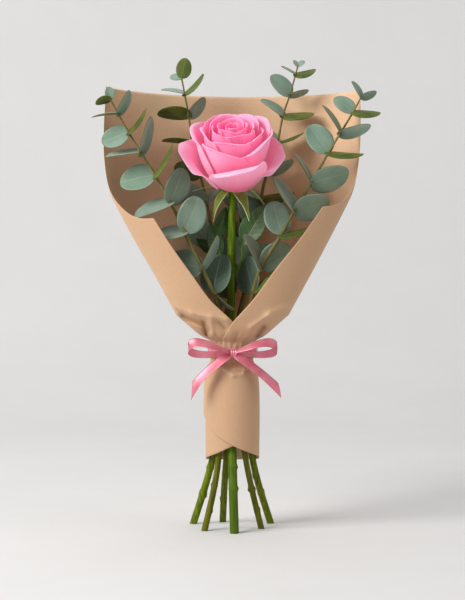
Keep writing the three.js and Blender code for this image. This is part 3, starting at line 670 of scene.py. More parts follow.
def lay_tube(bm, route, radius, sides, steps, tone):
    """Rolls a grid round a route. radius(v, direction) is the distance from its middle."""
    frames = []
    side = Vector((0, -1, 0))
    for step in range(steps + 1):
        ahead = route.heading(step / steps)
        side = (side - ahead * side.dot(ahead)).normalized()
        frames.append((route.at(step / steps), side, ahead.cross(side)))

    def surface(u, v):
        middle, front, right = frames[round(v * steps)]
        direction = front * math.cos(u * math.tau) + right * math.sin(u * math.tau)
        return middle + direction * radius(v, direction)

    made = lay_sheet(bm, surface, sides, steps, tone)
    bmesh.ops.remove_doubles(bm, verts=made, dist=SEAM_GAP)


def close_rims(bm, material):
    """Caps the open ends of tubes."""
    rims = [edge for edge in bm.edges if edge.is_boundary]
    for cap in bmesh.ops.holes_fill(bm, edges=rims, sides=0)["faces"]:
        cap.material_index = material


def finish_piece(name, bm, materials, node, thickness=0.0):
    """Makes a piece of the shape, in its place on the frame, and hides the CAD part that it stands for.

    A sheet has a thickness. With two materials the second is on the face that its wall adds.
    """
    bmesh.ops.scale(bm, vec=(MM, MM, MM), verts=bm.verts)
    bmesh.ops.translate(bm, vec=BUNCH_AXIS, verts=bm.verts)
    if not thickness:
        bmesh.ops.recalc_face_normals(bm, faces=bm.faces)
    mesh = bpy.data.meshes.new(name)
    bm.to_mesh(mesh)
    bm.free()
    for finish in materials:
        mesh.materials.append(finish)
    mesh.polygons.foreach_set("use_smooth", [True] * len(mesh.polygons))
    piece = bpy.data.objects.new(name, mesh)
    bpy.context.scene.collection.objects.link(piece)
    if thickness:
        wall = piece.modifiers.new("Wall", "SOLIDIFY")
        wall.thickness = thickness
        wall.offset = 0
        wall.use_even_offset = False
        wall.material_offset = len(materials) - 1
    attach(piece, "root")
    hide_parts(node)
    return piece


# ---------------------------------------------------------------- kraft paper


def fold_height(x, height):
    """How far the pressed folds stand out at a place on the front."""
    total = 0.0
    for (x0, z0), (x1, z1), width, rise in FRONT_FOLDS:
        if min(z0, z1) - 3 * width < height < max(z0, z1) + 3 * width:
            run_x, run_z = x1 - x0, z1 - z0
            share = ((x - x0) * run_x + (height - z0) * run_z) / (run_x**2 + run_z**2)
            share = min(max(share, 0), 1)
            away = (x - x0 - share * run_x) ** 2 + (height - z0 - share * run_z) ** 2
            total += rise * math.exp(-math.sqrt(away / width**2 + 0.06) * 1.4)
    return total


def wrap_point(turn, height, gather):
    """The paper at a turn from the middle of the back, with its folds and gathers."""
    angle = math.radians(turn)
    half, back, front = (smooth_row(WRAP_SECTIONS, column, height, FOLD_HEIGHT) for column in (1, 2, 3))
    squareness = mixed(1, FOLD_SQUARENESS, eased(height, 150, 178))
    squareness = mixed(squareness, FLAP_SQUARENESS, eased(height, 195, 240))
    lift = WRAP_LAP * eased(turn, 95, 150)
    cosine = math.cos(angle)
    depth = (back + lift) * cosine if cosine >= 0 else -(front + lift) * abs(cosine) ** squareness
    point = Vector(((half + lift) * math.sin(angle), depth, height))
    outward = Vector((math.sin(angle) / half, cosine / max(back, front), 0)).normalized()
    near = math.exp(-(((height - NECK_HEIGHT - 4) / GATHER_REACH) ** 2))
    pleat = math.sin(GATHERS * angle + 1.6 * math.sin(2 * angle) + 0.05 * height)
    front_share = eased(-cosine, 0.1, 0.6)
    swell = gather * near * (1 + 0.8 * pleat) * (1 - 0.55 * front_share)
    if cosine < 0:
        clear = 0.25 + 0.75 * eased(abs(height - NECK_HEIGHT), 5, 11)
        point.y -= fold_height(half * math.sin(angle), height) * eased(-cosine, 0.12, 0.42) * clear
    broad = 1.1 * math.sin(3 * angle + height * 0.021) * eased(height, 200, 260) * eased(cosine, -0.9, -0.2)
    return point + outward * (swell + broad)


def wrap_surface(gather):
    """The sheet between its four edges."""

    def surface(u, v):
        top = edge_point(TOP_EDGE, TOP_STOPS, u, TOP_CORNERS)
        bottom = edge_point(BOTTOM_EDGE, BOTTOM_STOPS, u)
        left = edge_point(LEFT_EDGE, SIDE_STOPS, v)
        right = edge_point(RIGHT_EDGE, SIDE_STOPS, v)

        def between(k):
            corners = (mixed(edge[0][k], edge[-1][k], u) for edge in (BOTTOM_EDGE, TOP_EDGE))
            return mixed(bottom[k], top[k], v) + mixed(left[k], right[k], u) - mixed(*corners, v)

        return wrap_point(between(0), between(1), gather)

    return surface


def kraft_finish(settings, name, main, cloudy):
    finish = Finish(name, Specular_IOR_Level=0.15, Sheen_Weight=0.2, Sheen_Roughness=0.5)
    where = finish.place()
    cloud = finish.noise(14, where, 4)
    fibre = finish.noise(1, finish.place((700, 700, 1100)), 4, 0.7)
    speck = finish.noise(1100, where, 2, 0.6)
    base = finish.mix((cloud - 0.35) * 0.5, main, cloudy)
    base = finish.mix(fibre.band(0.5, 0.72) * 0.3, base, settings.fibre)
    base = finish.mix(speck.band(0.62, 0.74) * 0.16, base, pigment(140, 98, 66))
    # Painted shade: low tone darkens the fold valleys to brown. Painted highlight: high tone lightens the
    # ridges.
    crease = finish.attribute("tone")
    base = finish.mix((1 - crease.band(0.12, 0.48)) * 0.7, base, pigment(150, 104, 66))
    base = finish.mix(crease.band(0.52, 0.85) * 0.35, base, pigment(224, 188, 152))
    grain = fibre * 0.6 + speck * 0.4
    return finish.paint(
        Base_Color=base, Roughness=fibre * 0.12 + 0.76, Normal=finish.bump(grain, 0.12, 0.0003)
    )


class BOUQUET_OT_kraft_wrap(bpy.types.Operator):
    """Rolls the kraft paper round the stems"""

    bl_idname = "bouquet.kraft_wrap"
    bl_label = "Kraft wrap"

    def execute(self, context):
        settings = context.scene.bouquet_paper
        bm = bmesh.new()
        made = lay_sheet(bm, wrap_surface(settings.gather / MM), *STEPS["kraft"])
        # Tone below the middle paints shade into the fold valleys, and tone above it paints a highlight on
        # the ridges.
        crease = bm.verts.layers.float["tone"]
        for vert in made:
            if vert.co.y < 0:
                vert[crease] = 0.5 + 0.5 * fold_height(vert.co.x, vert.co.z) / FULL_FOLD_SHADE
        # The inner face gets lighter colours than the outer one: painted light for the shaded inside of the
        # wrap.
        inside = kraft_finish(settings, "kraft_paper_inside_lightened", settings.inside, pigment(232, 198, 164))
        outside = kraft_finish(settings, "kraft_paper", settings.kraft, pigment(203, 168, 136))
        finish_piece(
            "kraft_wrap_paper", bm, [inside, outside], "kraft_wrap", settings.thickness
        )
        return {"FINISHED"}


# ---------------------------------------------------------------- satin ribbon


def satin_finish(settings):
    finish = Finish(
        "satin_ribbon", Metallic=0.4, Specular_IOR_Level=0.8, Sheen_Weight=0.5, Sheen_Roughness=0.35
    )
    across, along = finish.along()
    thread = (across * 260).sine() * 0.5 + (along * 3200).sine() * 0.5
    # Noise that paints lighter pink streaks along the satin: painted sheen. It also varies the roughness.
    painted_sheen_and_gloss = finish.noise(1, finish.place((60, 60, 60)), 2)
    base = finish.mix(painted_sheen_and_gloss.band(0.35, 0.65) * 0.7, settings.satin, pigment(238, 152, 170))
    selvedge = ((across - 0.5).size() * 2).band(0.88, 0.95)
    base = finish.mix(selvedge * 0.35, base, pigment(190, 84, 108))
    return finish.paint(
        Base_Color=base, Roughness=painted_sheen_and_gloss * 0.1 + 0.3, Normal=finish.bump(thread, 0.12, 0.00008)
    )


def ribbon_strip(bm, route, width, lay, pinch, slant=0.0):
    """A strip of ribbon. lay(v) is the direction of its width, pinch(v) narrows it at the knot."""
    curve = Route(route)
    cup = crease = 0.35

    def surface(u, v):
        share = v * (1 - slant * u)
        across = lay(share).normalized()
        out = curve.heading(share).cross(across).normalized()
        side = 2 * u - 1
        rise = cup * (1 - side * side) + crease * math.sin(9 * side) * (1 - pinch(share))
        return curve.at(share) + across * (side * width / 2 * pinch(share)) + out * rise

    lay_sheet(bm, surface, *STEPS["strip"])


class BOUQUET_OT_ribbon_bow(bpy.types.Operator):
    """Ties the ribbon round the neck in a bow"""

    bl_idname = "bouquet.ribbon_bow"
    bl_label = "Ribbon bow"

    def execute(self, context):
        settings = context.scene.bouquet_ribbon
        width = settings.width / MM
        bm = bmesh.new()

        def band(u, v):
            turn = v * math.tau
            height = NECK_HEIGHT + (u - 0.5) * width * (1 - 0.25 * eased(-math.cos(turn), 0.6, 1))
            radius = BAND_RADIUS + 0.25 * math.sin(17 * turn)
            return Vector((radius * math.sin(turn), radius * math.cos(turn), height))

        made = lay_sheet(bm, band, *STEPS["band"])
        bmesh.ops.remove_doubles(bm, verts=made, dist=SEAM_GAP)
        for side in (-1, 1):
            route = [(side * x, y, z) for x, y, z in BOW_LOOP]

            def lay(share, side=side):
                turned = math.cos(share * math.pi)
                tilt = math.copysign(1.25 * abs(turned) ** 0.65, turned)
                return Vector((side * 0.2 * (1 - 2 * share), tilt, 0.85))

            def pinch(share):
                return 0.5 + 0.5 * eased(min(share, 1 - share), 0.0, 0.2)

            ribbon_strip(bm, route, width, lay, pinch)
        for side, route in BOW_TAILS.items():
            across = Vector((side * 0.74, -0.12, 0.68))

            def lay_tail(share, across=across):
                return across + Vector((0, 0.85 + 0.25 * math.sin(share * math.pi), 0))

            def pinch_tail(share):
                return 0.5 + 0.45 * eased(share, 0.0, 0.2)

            ribbon_strip(bm, route, width, lay_tail, pinch_tail, slant=0.17)

        def knot(u, v):
            turn = (v - 0.5) * math.radians(280)
            side = 2 * u - 1
            crease = 0.35 * math.sin(9 * side + 2 * turn)
            waist = 0.8 + 0.2 * side * side
            depth = KNOT["depth"] * waist + crease
            rise = KNOT["rise"] * waist + crease * 0.5
            across = KNOT["half_width"] * side + 0.5 * math.sin(turn)
            return KNOT["centre"] + Vector((across, -depth * math.cos(turn), rise * math.sin(turn)))

        lay_sheet(bm, knot, *STEPS["knot"])
        piece = finish_piece(
            "satin_bow", bm, [satin_finish(settings)], "ribbon_bow", settings.thickness
        )
        return {"FINISHED"}


# ---------------------------------------------------------------- stems


def stem_route(name):
    """The stem's route, run on a little under the floor so that it can be cut level."""
    points = [Vector(p) for p in STEMS[name][1]]
    under = points[0] + (points[1] - points[0]) * (-6 / points[1].z)
    return Route([under, *points])


def lay_stem(bm, name, rings, sides, steps, tone):
    """A stem with a swollen ring at each leaf and a scar at each lost one, cut level at the floor."""
    foot_radius, top_radius = STEMS[name][0]
    route = stem_route(name)

    def radius(v, direction):
        height = route.at(v).z
        size = mixed(foot_radius, top_radius, eased(height, -10, 420) * 0.5 + 0.5 * v)
        for ring in rings:
            size *= 1 + NODE_SWELL * math.exp(-(((height - ring) / NODE_REACH) ** 2))
        for scar, heading, rise in SCARS[name]:
            towards = math.cos(math.atan2(direction.y, direction.x) - math.radians(heading))
            size += rise * math.exp(-(((height - scar) / SCAR_REACH) ** 2)) * max(0, towards) ** 2
            size += 0.25 * math.exp(-(((height - scar) / 1.0) ** 2))
        return size

    lay_tube(bm, route, radius, sides, steps, tone)
    whole = [*bm.verts, *bm.edges, *bm.faces]
    bmesh.ops.bisect_plane(bm, geom=whole, plane_co=(0, 0, 0), plane_no=(0, 0, 1), clear_inner=True)
    close_rims(bm, 1)


def cut_end_finish():
    finish = Finish("cut_end")
    pith = finish.noise(1400, finish.place(), 3)
    return finish.paint(
        Base_Color=finish.mix(pith, pigment(214, 200, 150), pigment(182, 160, 104)),
        Roughness=pith * 0.1 + 0.6,
    )


def rose_green_finish(settings):
    finish = Finish("rose_stem", Specular_IOR_Level=0.2)
    streak = finish.noise(1, finish.place((420, 420, 26)), 3)
    patch = finish.noise(45, finish.place(), 2)
    height = finish.height()
    base = finish.mix(streak.band(0.35, 0.7), settings.green, pigment(62, 98, 10))
    base = finish.mix(patch.band(0.5, 0.75) * 0.5, base, pigment(134, 172, 52))
    base = finish.mix((1 - height.band(0.03, 0.12)) * 0.8, base, pigment(64, 88, 0))
    return finish.paint(
        Base_Color=base, Roughness=streak * 0.15 + 0.34, Normal=finish.bump(streak, 0.06, 0.0003)
    )


def bark_finish(settings):
    finish = Finish("eucalyptus_stem", Specular_IOR_Level=0.15)
    streak = finish.noise(1, finish.place((520, 520, 30)), 4)
    fleck = finish.noise(700, finish.place(), 2)
    fresh = finish.attribute("tone")
    height = finish.height()
    foot = finish.mix(fresh, pigment(98, 90, 20), pigment(112, 128, 12))
    foot = finish.mix(streak.band(0.35, 0.68) * 0.8, foot, pigment(62, 74, 10))
    upper = finish.mix(streak.band(0.3, 0.7), settings.bark, pigment(104, 108, 56))
    base = finish.mix(height.band(0.12, 0.22), foot, upper)
    base = finish.mix(fleck.band(0.62, 0.75) * 0.5, base, pigment(92, 72, 40))
    return finish.paint(
        Base_Color=base, Roughness=streak * 0.2 + 0.42, Normal=finish.bump(streak, 0.3, 0.0004)
    )


class BOUQUET_OT_rose_stem(bpy.types.Operator):
    """Makes the rose's stem with its hip"""

    bl_idname = "bouquet.rose_stem"
    bl_label = "Rose stem"

    def execute(self, context):
        settings = context.scene.bouquet_rose
        bm = bmesh.new()
        lay_stem(bm, "rose_stem", [ROSE_NODE_HEIGHT], *STEPS["rose_stem"], 1.0)
        hip = bmesh.new()
        outline = Route([(r, 0, h) for r, h in HIP_OUTLINE])

        def surface(u, v):
            place = outline.at(v)
            turn = u * math.tau
            return BLOOM_FRAME @ Vector((place.x * math.cos(turn), place.x * math.sin(turn), place.z))

        made = lay_sheet(hip, surface, *STEPS["hip"], 1.0)
        bmesh.ops.remove_doubles(hip, verts=made, dist=SEAM_GAP)
        close_rims(hip, 0)
        shell = bpy.data.meshes.new("hip")
        hip.to_mesh(shell)
        hip.free()
        bm.from_mesh(shell)
        bpy.data.meshes.remove(shell)
        materials = [rose_green_finish(settings), cut_end_finish()]
        finish_piece("rose_stem_and_hip", bm, materials, "rose_stem")
        return {"FINISHED"}


# ---------------------------------------------------------------- leaves


def leaf_axes(heading, roll, lean):
    """The directions of a leaf's midrib, its width and its top face."""
    heading, roll, lean = (math.radians(angle) for angle in (heading, roll, lean))
    level = math.cos(lean)
    midrib = Vector((math.cos(heading) * level, -math.sin(lean), math.sin(heading) * level))
    forwards = Vector((0, -1, 0))
    facing = (forwards - midrib * forwards.dot(midrib)).normalized()
    normal = Matrix.Rotation(roll, 3, midrib) @ facing
    return midrib, normal.cross(midrib), normal


def lay_leaf(bm, foot, leaf, blade, across, along, tone):
    """One cupped leaf blade. Its faces look to its underside, and its wall adds the top."""
    heading, roll, size, lean = leaf
    midrib, sideways, normal = leaf_axes(heading, roll, lean)
    half_width = size * blade["width"] / 2
    behind = mixed(*blade["lobes"], math.sin(math.radians(roll)) ** 2)
    wave = 0.5 + 0.5 * math.sin(tone * 40)

    def surface(u, v):
        side = 2 * u - 1
        run = (1 - math.cos(math.pi * v)) / 2 if blade["teeth"] == 0 else v
        widest = blade["widest"]
        away = (widest - run) / widest if run < widest else (run - widest) / (1 - widest)
        half = half_width * max(1 - away**blade["fullness"], 0) ** blade["round"]
        if blade["teeth"]:
            tooth = (run * blade["teeth"]) % 1
            half *= 1 + 0.09 * (tooth - 0.5) * abs(side) ** 3
        lift = blade["cup"] * half * abs(side) ** 1.5 - blade["lip"] * size * run * run
        lift += 0.012 * size * math.sin(6 * run + 3 * side + tone * 20) * wave * abs(side)
        lift -= 0.25 * math.exp(-((side / 0.09) ** 2)) * (1 - run)
        bend = 0.03 * size * (wave - 0.5) * math.sin(math.pi * run)
        return (
            foot + midrib * (size * (run - behind)) + sideways * (half * side + bend) + normal * lift
        )

    made = lay_sheet(bm, surface, across, along, tone)
    bmesh.ops.remove_doubles(bm, verts=made, dist=POINT_GAP)


def leaf_veins(finish, spread, count):
    """Masks for the midrib and the side veins of a blade, and the distance from its midrib."""
    across, along = finish.along()
    side = (across - 0.5).size() * 2
    midrib = 1 - side.band(0.01, 0.06)
    ribs = ((along * count - side * spread) * math.tau).sine()
    return midrib, ribs.band(0.82, 1.0) * side.band(0.03, 0.2), side


def eucalyptus_top_finish(settings):
    finish = Finish("eucalyptus_leaf_top", Specular_IOR_Level=0.25, Sheen_Weight=0.25, Sheen_Roughness=0.6)
    midrib, ribs, side = leaf_veins(finish, 2.2, 9)
    tone = finish.attribute("tone")
    cloud = finish.noise(60, finish.place(), 4)
    # Tone up to 0.75 varies the leaves at random. Above that it marks the low leaves that lean back, and
    # these mixes paint them darker: painted shade from the paper.
    base = finish.mix(cloud.band(0.3, 0.75) * 0.6 + tone * 0.25, settings.bloom, pigment(92, 122, 104))
    base = finish.mix(tone.band(0.45, 0.75) * 0.45, base, pigment(104, 128, 100))
    base = finish.mix(tone.band(0.8, 1.0) * 0.8, base, pigment(52, 78, 62))
    base = finish.mix(side.band(0.8, 1.0) * 0.3, base, pigment(170, 188, 172))
    base = finish.mix(ribs * 0.1, base, pigment(150, 174, 158))
    base = finish.mix(midrib * 0.35, base, pigment(170, 186, 156))
    height = ribs * 0.3 + midrib * 0.6 + cloud * 0.3
    return finish.paint(
        Base_Color=base, Roughness=cloud * 0.15 + 0.5, Normal=finish.bump(height, 0.25, 0.0005)
    )


def eucalyptus_under_finish(settings):
    finish = Finish("eucalyptus_leaf_underside", Specular_IOR_Level=0.2)
    midrib, ribs, _ = leaf_veins(finish, 2.2, 9)
    tone = finish.attribute("tone")
    cloud = finish.noise(70, finish.place(), 4)
    base = finish.mix(cloud.band(0.3, 0.7), settings.underside, pigment(64, 80, 32))
    base = finish.mix(tone * 0.35, base, pigment(98, 116, 58))
    base = finish.mix(ribs * 0.12, base, pigment(112, 130, 76))
    base = finish.mix(midrib * 0.4, base, pigment(140, 150, 86))
    height = ribs * 0.5 + midrib + cloud * 0.3
    return finish.paint(
        Base_Color=base, Roughness=cloud * 0.2 + 0.45, Normal=finish.bump(height, 0.3, 0.0005)
    )


def rose_leaf_finish(name, dark, light):
    finish = Finish(name, Specular_IOR_Level=0.5)
    midrib, ribs, _ = leaf_veins(finish, 1.4, 8)
    cloud = finish.noise(90, finish.place(), 4)
    base = finish.mix(cloud.band(0.35, 0.7), dark, light)
    base = finish.mix(ribs * 0.28, base, pigment(96, 126, 66))
    base = finish.mix(midrib * 0.5, base, pigment(130, 156, 88))
    height = 1 - ribs * 0.7 - midrib + cloud * 0.3
    return finish.paint(
        Base_Color=base, Roughness=cloud * 0.2 + 0.34, Normal=finish.bump(height, 0.5, 0.0006)
    )


class BOUQUET_OT_eucalyptus(bpy.types.Operator):
    """Grows the five eucalyptus branches with their leaves"""

    bl_idname = "bouquet.eucalyptus"
    bl_label = "Eucalyptus branches"

    def execute(self, context):
        settings = context.scene.bouquet_eucalyptus
        bark, cut = bark_finish(settings), cut_end_finish()
        under, top = eucalyptus_under_finish(settings), eucalyptus_top_finish(settings)
        steps = settings.across, settings.along
        for name, pairs in LEAF_PAIRS.items():
            route = stem_route(name)
            stem = bmesh.new()
            rings = [pair[0] for pair in pairs]
            lay_stem(stem, name, rings, *STEPS["eucalyptus_stem"], FRESHNESS[name])
            finish_piece(f"{name}_stem", stem, [bark, cut], name)
            leaves = bmesh.new()
            for number, (height, *pair) in enumerate(pairs):
                foot = route.at_height(height)
                for place, leaf in enumerate(pair):
                    tone = 0.75 * ((number * 0.618 + place * 0.37 + len(name) * 0.13) % 1)
                    lean = leaf[3]
                    # Low leaves that lean back get a high tone, which paints shade on them.
                    if lean < 0:
                        tone = max(tone, 1 - eased(height, *SHADE_HEIGHTS))
                    lay_leaf(leaves, foot, leaf, EUCALYPTUS_BLADE, *steps, tone)
            finish_piece(
                f"{name}_leaves", leaves, [under, top], name, settings.leaf_thickness
            )
        return {"FINISHED"}


class BOUQUET_OT_rose_leaves(bpy.types.Operator):
    """Grows the rose's own leaves on their petioles"""

    bl_idname = "bouquet.rose_leaves"
    bl_label = "Rose leaves"

    def execute(self, context):
        settings = context.scene.bouquet_rose
        green = rose_green_finish(settings)
        under = rose_leaf_finish("rose_leaf_underside", pigment(84, 110, 60), pigment(98, 124, 74))
        top = rose_leaf_finish("rose_leaf_top", settings.leaf, pigment(58, 92, 40))
        stem = stem_route("rose_stem")
        for name, (height, reach, leaflets) in ROSE_LEAVES.items():
            outwards = math.copysign(1, reach[0])
            start = stem.at_height(height) + Vector((outwards * PETIOLE_START, 0, 0))
            end = start + Vector(reach)
            bend = (start + end) / 2 + Vector((outwards * 1.5, 0, -1))
            route = Route([start, bend, end])
            stalk = bmesh.new()
            lay_tube(stalk, route, lambda v, _: mixed(*PETIOLE_RADII, v), *STEPS["petiole"], 1.0)
            close_rims(stalk, 0)
            finish_piece(f"{name}_petiole", stalk, [green], name)
            blades = bmesh.new()
            for place, leaf in leaflets:
                lay_leaf(blades, route.at(place), leaf, ROSE_BLADE, *STEPS["rose_leaf"], 0.5)
            finish_piece(f"{name}_blades", blades, [under, top], name, settings.leaf_thickness)
        return {"FINISHED"}


# ---------------------------------------------------------------- bloom


def bezier(points, share):
    """The point and the direction at a share of a cubic curve."""
    a, b, c, d = points
    rest = 1 - share
    place = a * rest**3 + b * (3 * rest**2 * share) + c * (3 * rest * share**2) + d * share**3
    run = (b - a) * (3 * rest**2) + (c - b) * (6 * rest * share) + (d - c) * (3 * share**2)
    return place, run.normalized()


def petal_surface(whorl, turn, quirk):
    """A cupped petal that laps over the next one and rolls its lip outwards."""
    foot, rim = Vector(whorl["foot"]), Vector(whorl["rim"])
    belly = whorl["belly"]
    profile = (
        foot,
        Vector((belly * whorl["bowl"], foot.y + 1)),
        Vector((belly * 1.12, foot.y + 0.62 * (rim.y - foot.y))),
        rim,
    )
    middle, spread = math.radians(turn), math.radians(whorl["spread"])
    lip, roll = whorl["lip"], math.radians(whorl["roll"])
    blade = PETAL_LENGTH * lip
    lift, lean, stand, point = (whorl.get(key, 0) for key in ("lift", "lean", "stand", "point"))

    def surface(u, v):
        side = 2 * u - 1
        opening = 0.3 + 0.7 * eased(v, 0, 0.55)
        crown = max(0, (v - 0.5) / 0.5)
        angle = middle + spread * side * opening * (1 - 0.25 * crown**2.2)
        corner = 1 - math.sqrt(max(1 - abs(side) ** 2.6, 0))
        drop = whorl["corner"] * corner * v**1.5 + whorl["peak"] * abs(side) * v
        shoulder = v * (1 - drop + (lift + lean * side) * v)
        place, slope = bezier(profile, shoulder)
        lap = (whorl["lap"] * side + stand) * eased(v, 0, 0.35)
        radius = place.x + slope.y * lap
        height = place.y - slope.x * lap
        if v > 1 - lip:
            share = (v - 1 + lip) / lip
            turned = roll * share * (0.85 + 0.25 * math.sin(2.3 * side + quirk * 5))
            rolled = 1 - eased(abs(side), 0.5, 0.92)
            bow = blade / max(roll, 0.2) * rolled
            radius += bow * (1 - math.cos(turned))
            height += bow * (math.sin(turned) - roll * share)
        ripple = 0.5 * math.sin(5 * side + quirk * 9) * eased(v, 0.5, 1) * min(1, belly / 20)
        radius += ripple + point * max(1 - abs(side) / 0.7, 0) ** 1.3 * eased(v, 0.5, 1)
        return BLOOM_FRAME @ Vector((radius * math.cos(angle), radius * math.sin(angle), height))

    return surface


def petal_finish(settings, name, fade, reach):
    """A petal's face. Deep pink rises from its foot up to reach, and fade weakens it further out; on the
    inner whorls' inner faces it is partly painted shade. The face glows faintly in its own colour: painted
    light.
    """
    # Emission makes each petal glow faintly in its own colour: painted light standing in for light passing
    # through the petals.
    finish = Finish(
        name, Specular_IOR_Level=0.3, Sheen_Weight=0.3, Sheen_Roughness=0.5,
        Subsurface_Weight=0.5, Subsurface_Scale=0.006, Subsurface_Radius=(1.0, 0.3, 0.45),
        Emission_Strength=0.09,
    )
    across, along = finish.along()
    tone = finish.attribute("tone")
    vein = finish.fibres(across * 46, along * 2.4, tone * 9)
    cloud = finish.noise(70, finish.place(), 3)
    # Deep pink at the petal's foot is its own colour. On the inner faces of the inner whorls it reaches up
    # to the rim, and there it is painted shade in the gaps between the petals.
    deep_pink_and_gap_shade = (1 - along.band(reach - 0.65, reach)) * (0.78 - tone * fade)
    base = finish.mix(tone * 0.92, settings.rich, settings.pale)
    base = finish.mix(deep_pink_and_gap_shade, base, pigment(232, 40, 106))
    base = finish.mix((1 - along.band(0.06, 0.2)) * tone * 0.8, base, pigment(238, 226, 180))
    base = finish.mix(along.band(0.86, 1.0) * 0.25, base, pigment(255, 196, 219))
    base = finish.mix(vein.band(0.5, 0.75) * 0.22, base, pigment(255, 205, 224))
    base = finish.mix(cloud.band(0.5, 0.8) * 0.2, base, pigment(252, 130, 180))
    return finish.paint(
        Base_Color=base, Emission_Color=base, Roughness=cloud * 0.15 + 0.45,
        Normal=finish.bump(vein * 0.7 + cloud * 0.3, 0.2, 0.0004),
    )


class BOUQUET_OT_petals(bpy.types.Operator):
    """Opens the rose's twenty-five petals"""

    bl_idname = "bouquet.petals"
    bl_label = "Petals"

    def execute(self, context):
        settings = context.scene.bouquet_rose
        # The front finish, on the petals' inner faces, carries deep pink up to the rim on the inner whorls.
        # That is partly painted shade between the whorls.
        back = petal_finish(settings, "petal_back", -0.14, 0.84)
        front = petal_finish(settings, "petal_front", 0.66, 1.0)
        for depth, (name, whorl) in enumerate(WHORLS.items()):
            for number, turn in enumerate(whorl["turns"]):
                bm = bmesh.new()
                shape = {**whorl, **ODD_PETALS.get((name, turn), {})}
                quirk = (depth * 0.41 + number * 0.618) % 1
                lay_sheet(bm, petal_surface(shape, turn, quirk), *STEPS["petal"], 0.1 + 0.18 * depth)
                node = f"petal_{name}_{number + 1}"
                finish_piece(
                    f"{node}_blade", bm, [back, front], node, settings.petal_thickness
                )
        return {"FINISHED"}


def sepal_finish(name, light, dark):
    finish = Finish(name, Specular_IOR_Level=0.35)
    across, along = finish.along()
    side = (across - 0.5).size() * 2
    stripe = finish.fibres(across * 18, along * 3)
    base = finish.mix(stripe.band(0.35, 0.7), light, dark)
    base = finish.mix(side.band(0.78, 1.0) * 0.8, base, pigment(214, 222, 176))
    base = finish.mix((1 - along.band(0.0, 0.25)) * 0.6, base, pigment(176, 190, 96))
    return finish.paint(
        Base_Color=base, Roughness=stripe * 0.15 + 0.5, Normal=finish.bump(stripe, 0.3, 0.0005)
    )


def sepal_surface(turn, slope_at_foot, slope_at_tip):
    """A sepal with a toothed edge, which bends evenly from its foot to its tip."""
    angle = math.radians(turn)
    outwards = Vector((math.cos(angle), math.sin(angle), 0))
    sideways = Vector((-math.sin(angle), math.cos(angle), 0))
    upwards = Vector((0, 0, 1))
    foot = BLOOM_FRAME @ (outwards * SEPAL_RING_RADIUS + upwards * SEPAL_RING_HEIGHT)
    start, bend = math.radians(slope_at_foot), math.radians(slope_at_tip - slope_at_foot)

    def surface(u, v):
        side = 2 * u - 1
        tooth = 1 + 0.07 * math.sin(v * 150 + 2 * math.sin(v * 31)) * abs(side) ** 6
        taper = (1 - v) ** 0.9 * (0.85 + 0.3 * math.sin(math.pi * min(v * 1.8, 1)))
        half = (SEPAL_HALF_WIDTH * taper + 0.2) * tooth
        end = start + bend * v
        out = SEPAL_LENGTH * (math.sin(end) - math.sin(start)) / bend
        up = SEPAL_LENGTH * (math.cos(start) - math.cos(end)) / bend
        fold = (upwards * math.cos(end) - outwards * math.sin(end)) * (0.12 * half * side * side)
        return foot + outwards * out + upwards * up + sideways * (half * side) + fold

    return surface


class BOUQUET_OT_sepals(bpy.types.Operator):
    """Folds the five sepals down under the bloom"""

    bl_idname = "bouquet.sepals"
    bl_label = "Sepals"

    def execute(self, context):
        thickness = context.scene.bouquet_rose.sepal_thickness
        upper = sepal_finish("sepal_inside", pigment(178, 196, 118), pigment(142, 170, 84))
        lower = sepal_finish("sepal_outside", pigment(140, 166, 74), pigment(106, 136, 48))
        for number, shape in enumerate(SEPALS):
            bm = bmesh.new()
            lay_sheet(bm, sepal_surface(*shape), *STEPS["sepal"], 0.2 * number)
            node = f"sepal_{number + 1}"
            finish_piece(f"{node}_blade", bm, [upper, lower], node, thickness)
        return {"FINISHED"}


# ---------------------------------------------------------------- stage


def sweep(u, v):
    """The floor, its round bend and the upright backdrop as one sheet."""
    x = (u - 0.5) * FLOOR_WIDTH
    run = v * SWEEP_LENGTH - FLOOR_RUN
    if run < 0:
        return Vector((x, FLOOR_NEAR + FLOOR_RUN + run, 0))
    turn = min(run / FLOOR_BEND, math.pi / 2)
    rest = max(run - FLOOR_BEND * math.pi / 2, 0)
    back = FLOOR_NEAR + FLOOR_RUN + FLOOR_BEND * math.sin(turn)
    return Vector((x, back, FLOOR_BEND * (1 - math.cos(turn)) + rest))


def floor_finish(settings):
    finish = Finish("pale_floor", Specular_IOR_Level=0.2)
    cloud = finish.noise(3.2, finish.place(), 5, 0.6)
    fine = finish.noise(26, finish.place(), 4)
    base = finish.mix(cloud.band(0.3, 0.7) * 0.5 + fine * 0.2, settings.floor, pigment(221, 221, 220))
    return finish.paint(Base_Color=base, Roughness=fine * 0.1 + 0.8)


def aim_at(thing, place, target):
    thing.location = place
    thing.rotation_euler = (target - Vector(place)).to_track_quat("-Z", "Y").to_euler()
    bpy.context.scene.collection.objects.link(thing)


def hang_lamp(name, place, size, energy, tint, target):
    lamp = bpy.data.lights.new(name, "AREA")
    lamp.size = size
    lamp.energy = energy
    lamp.color = tint
    aim_at(bpy.data.objects.new(name, lamp), place, target)


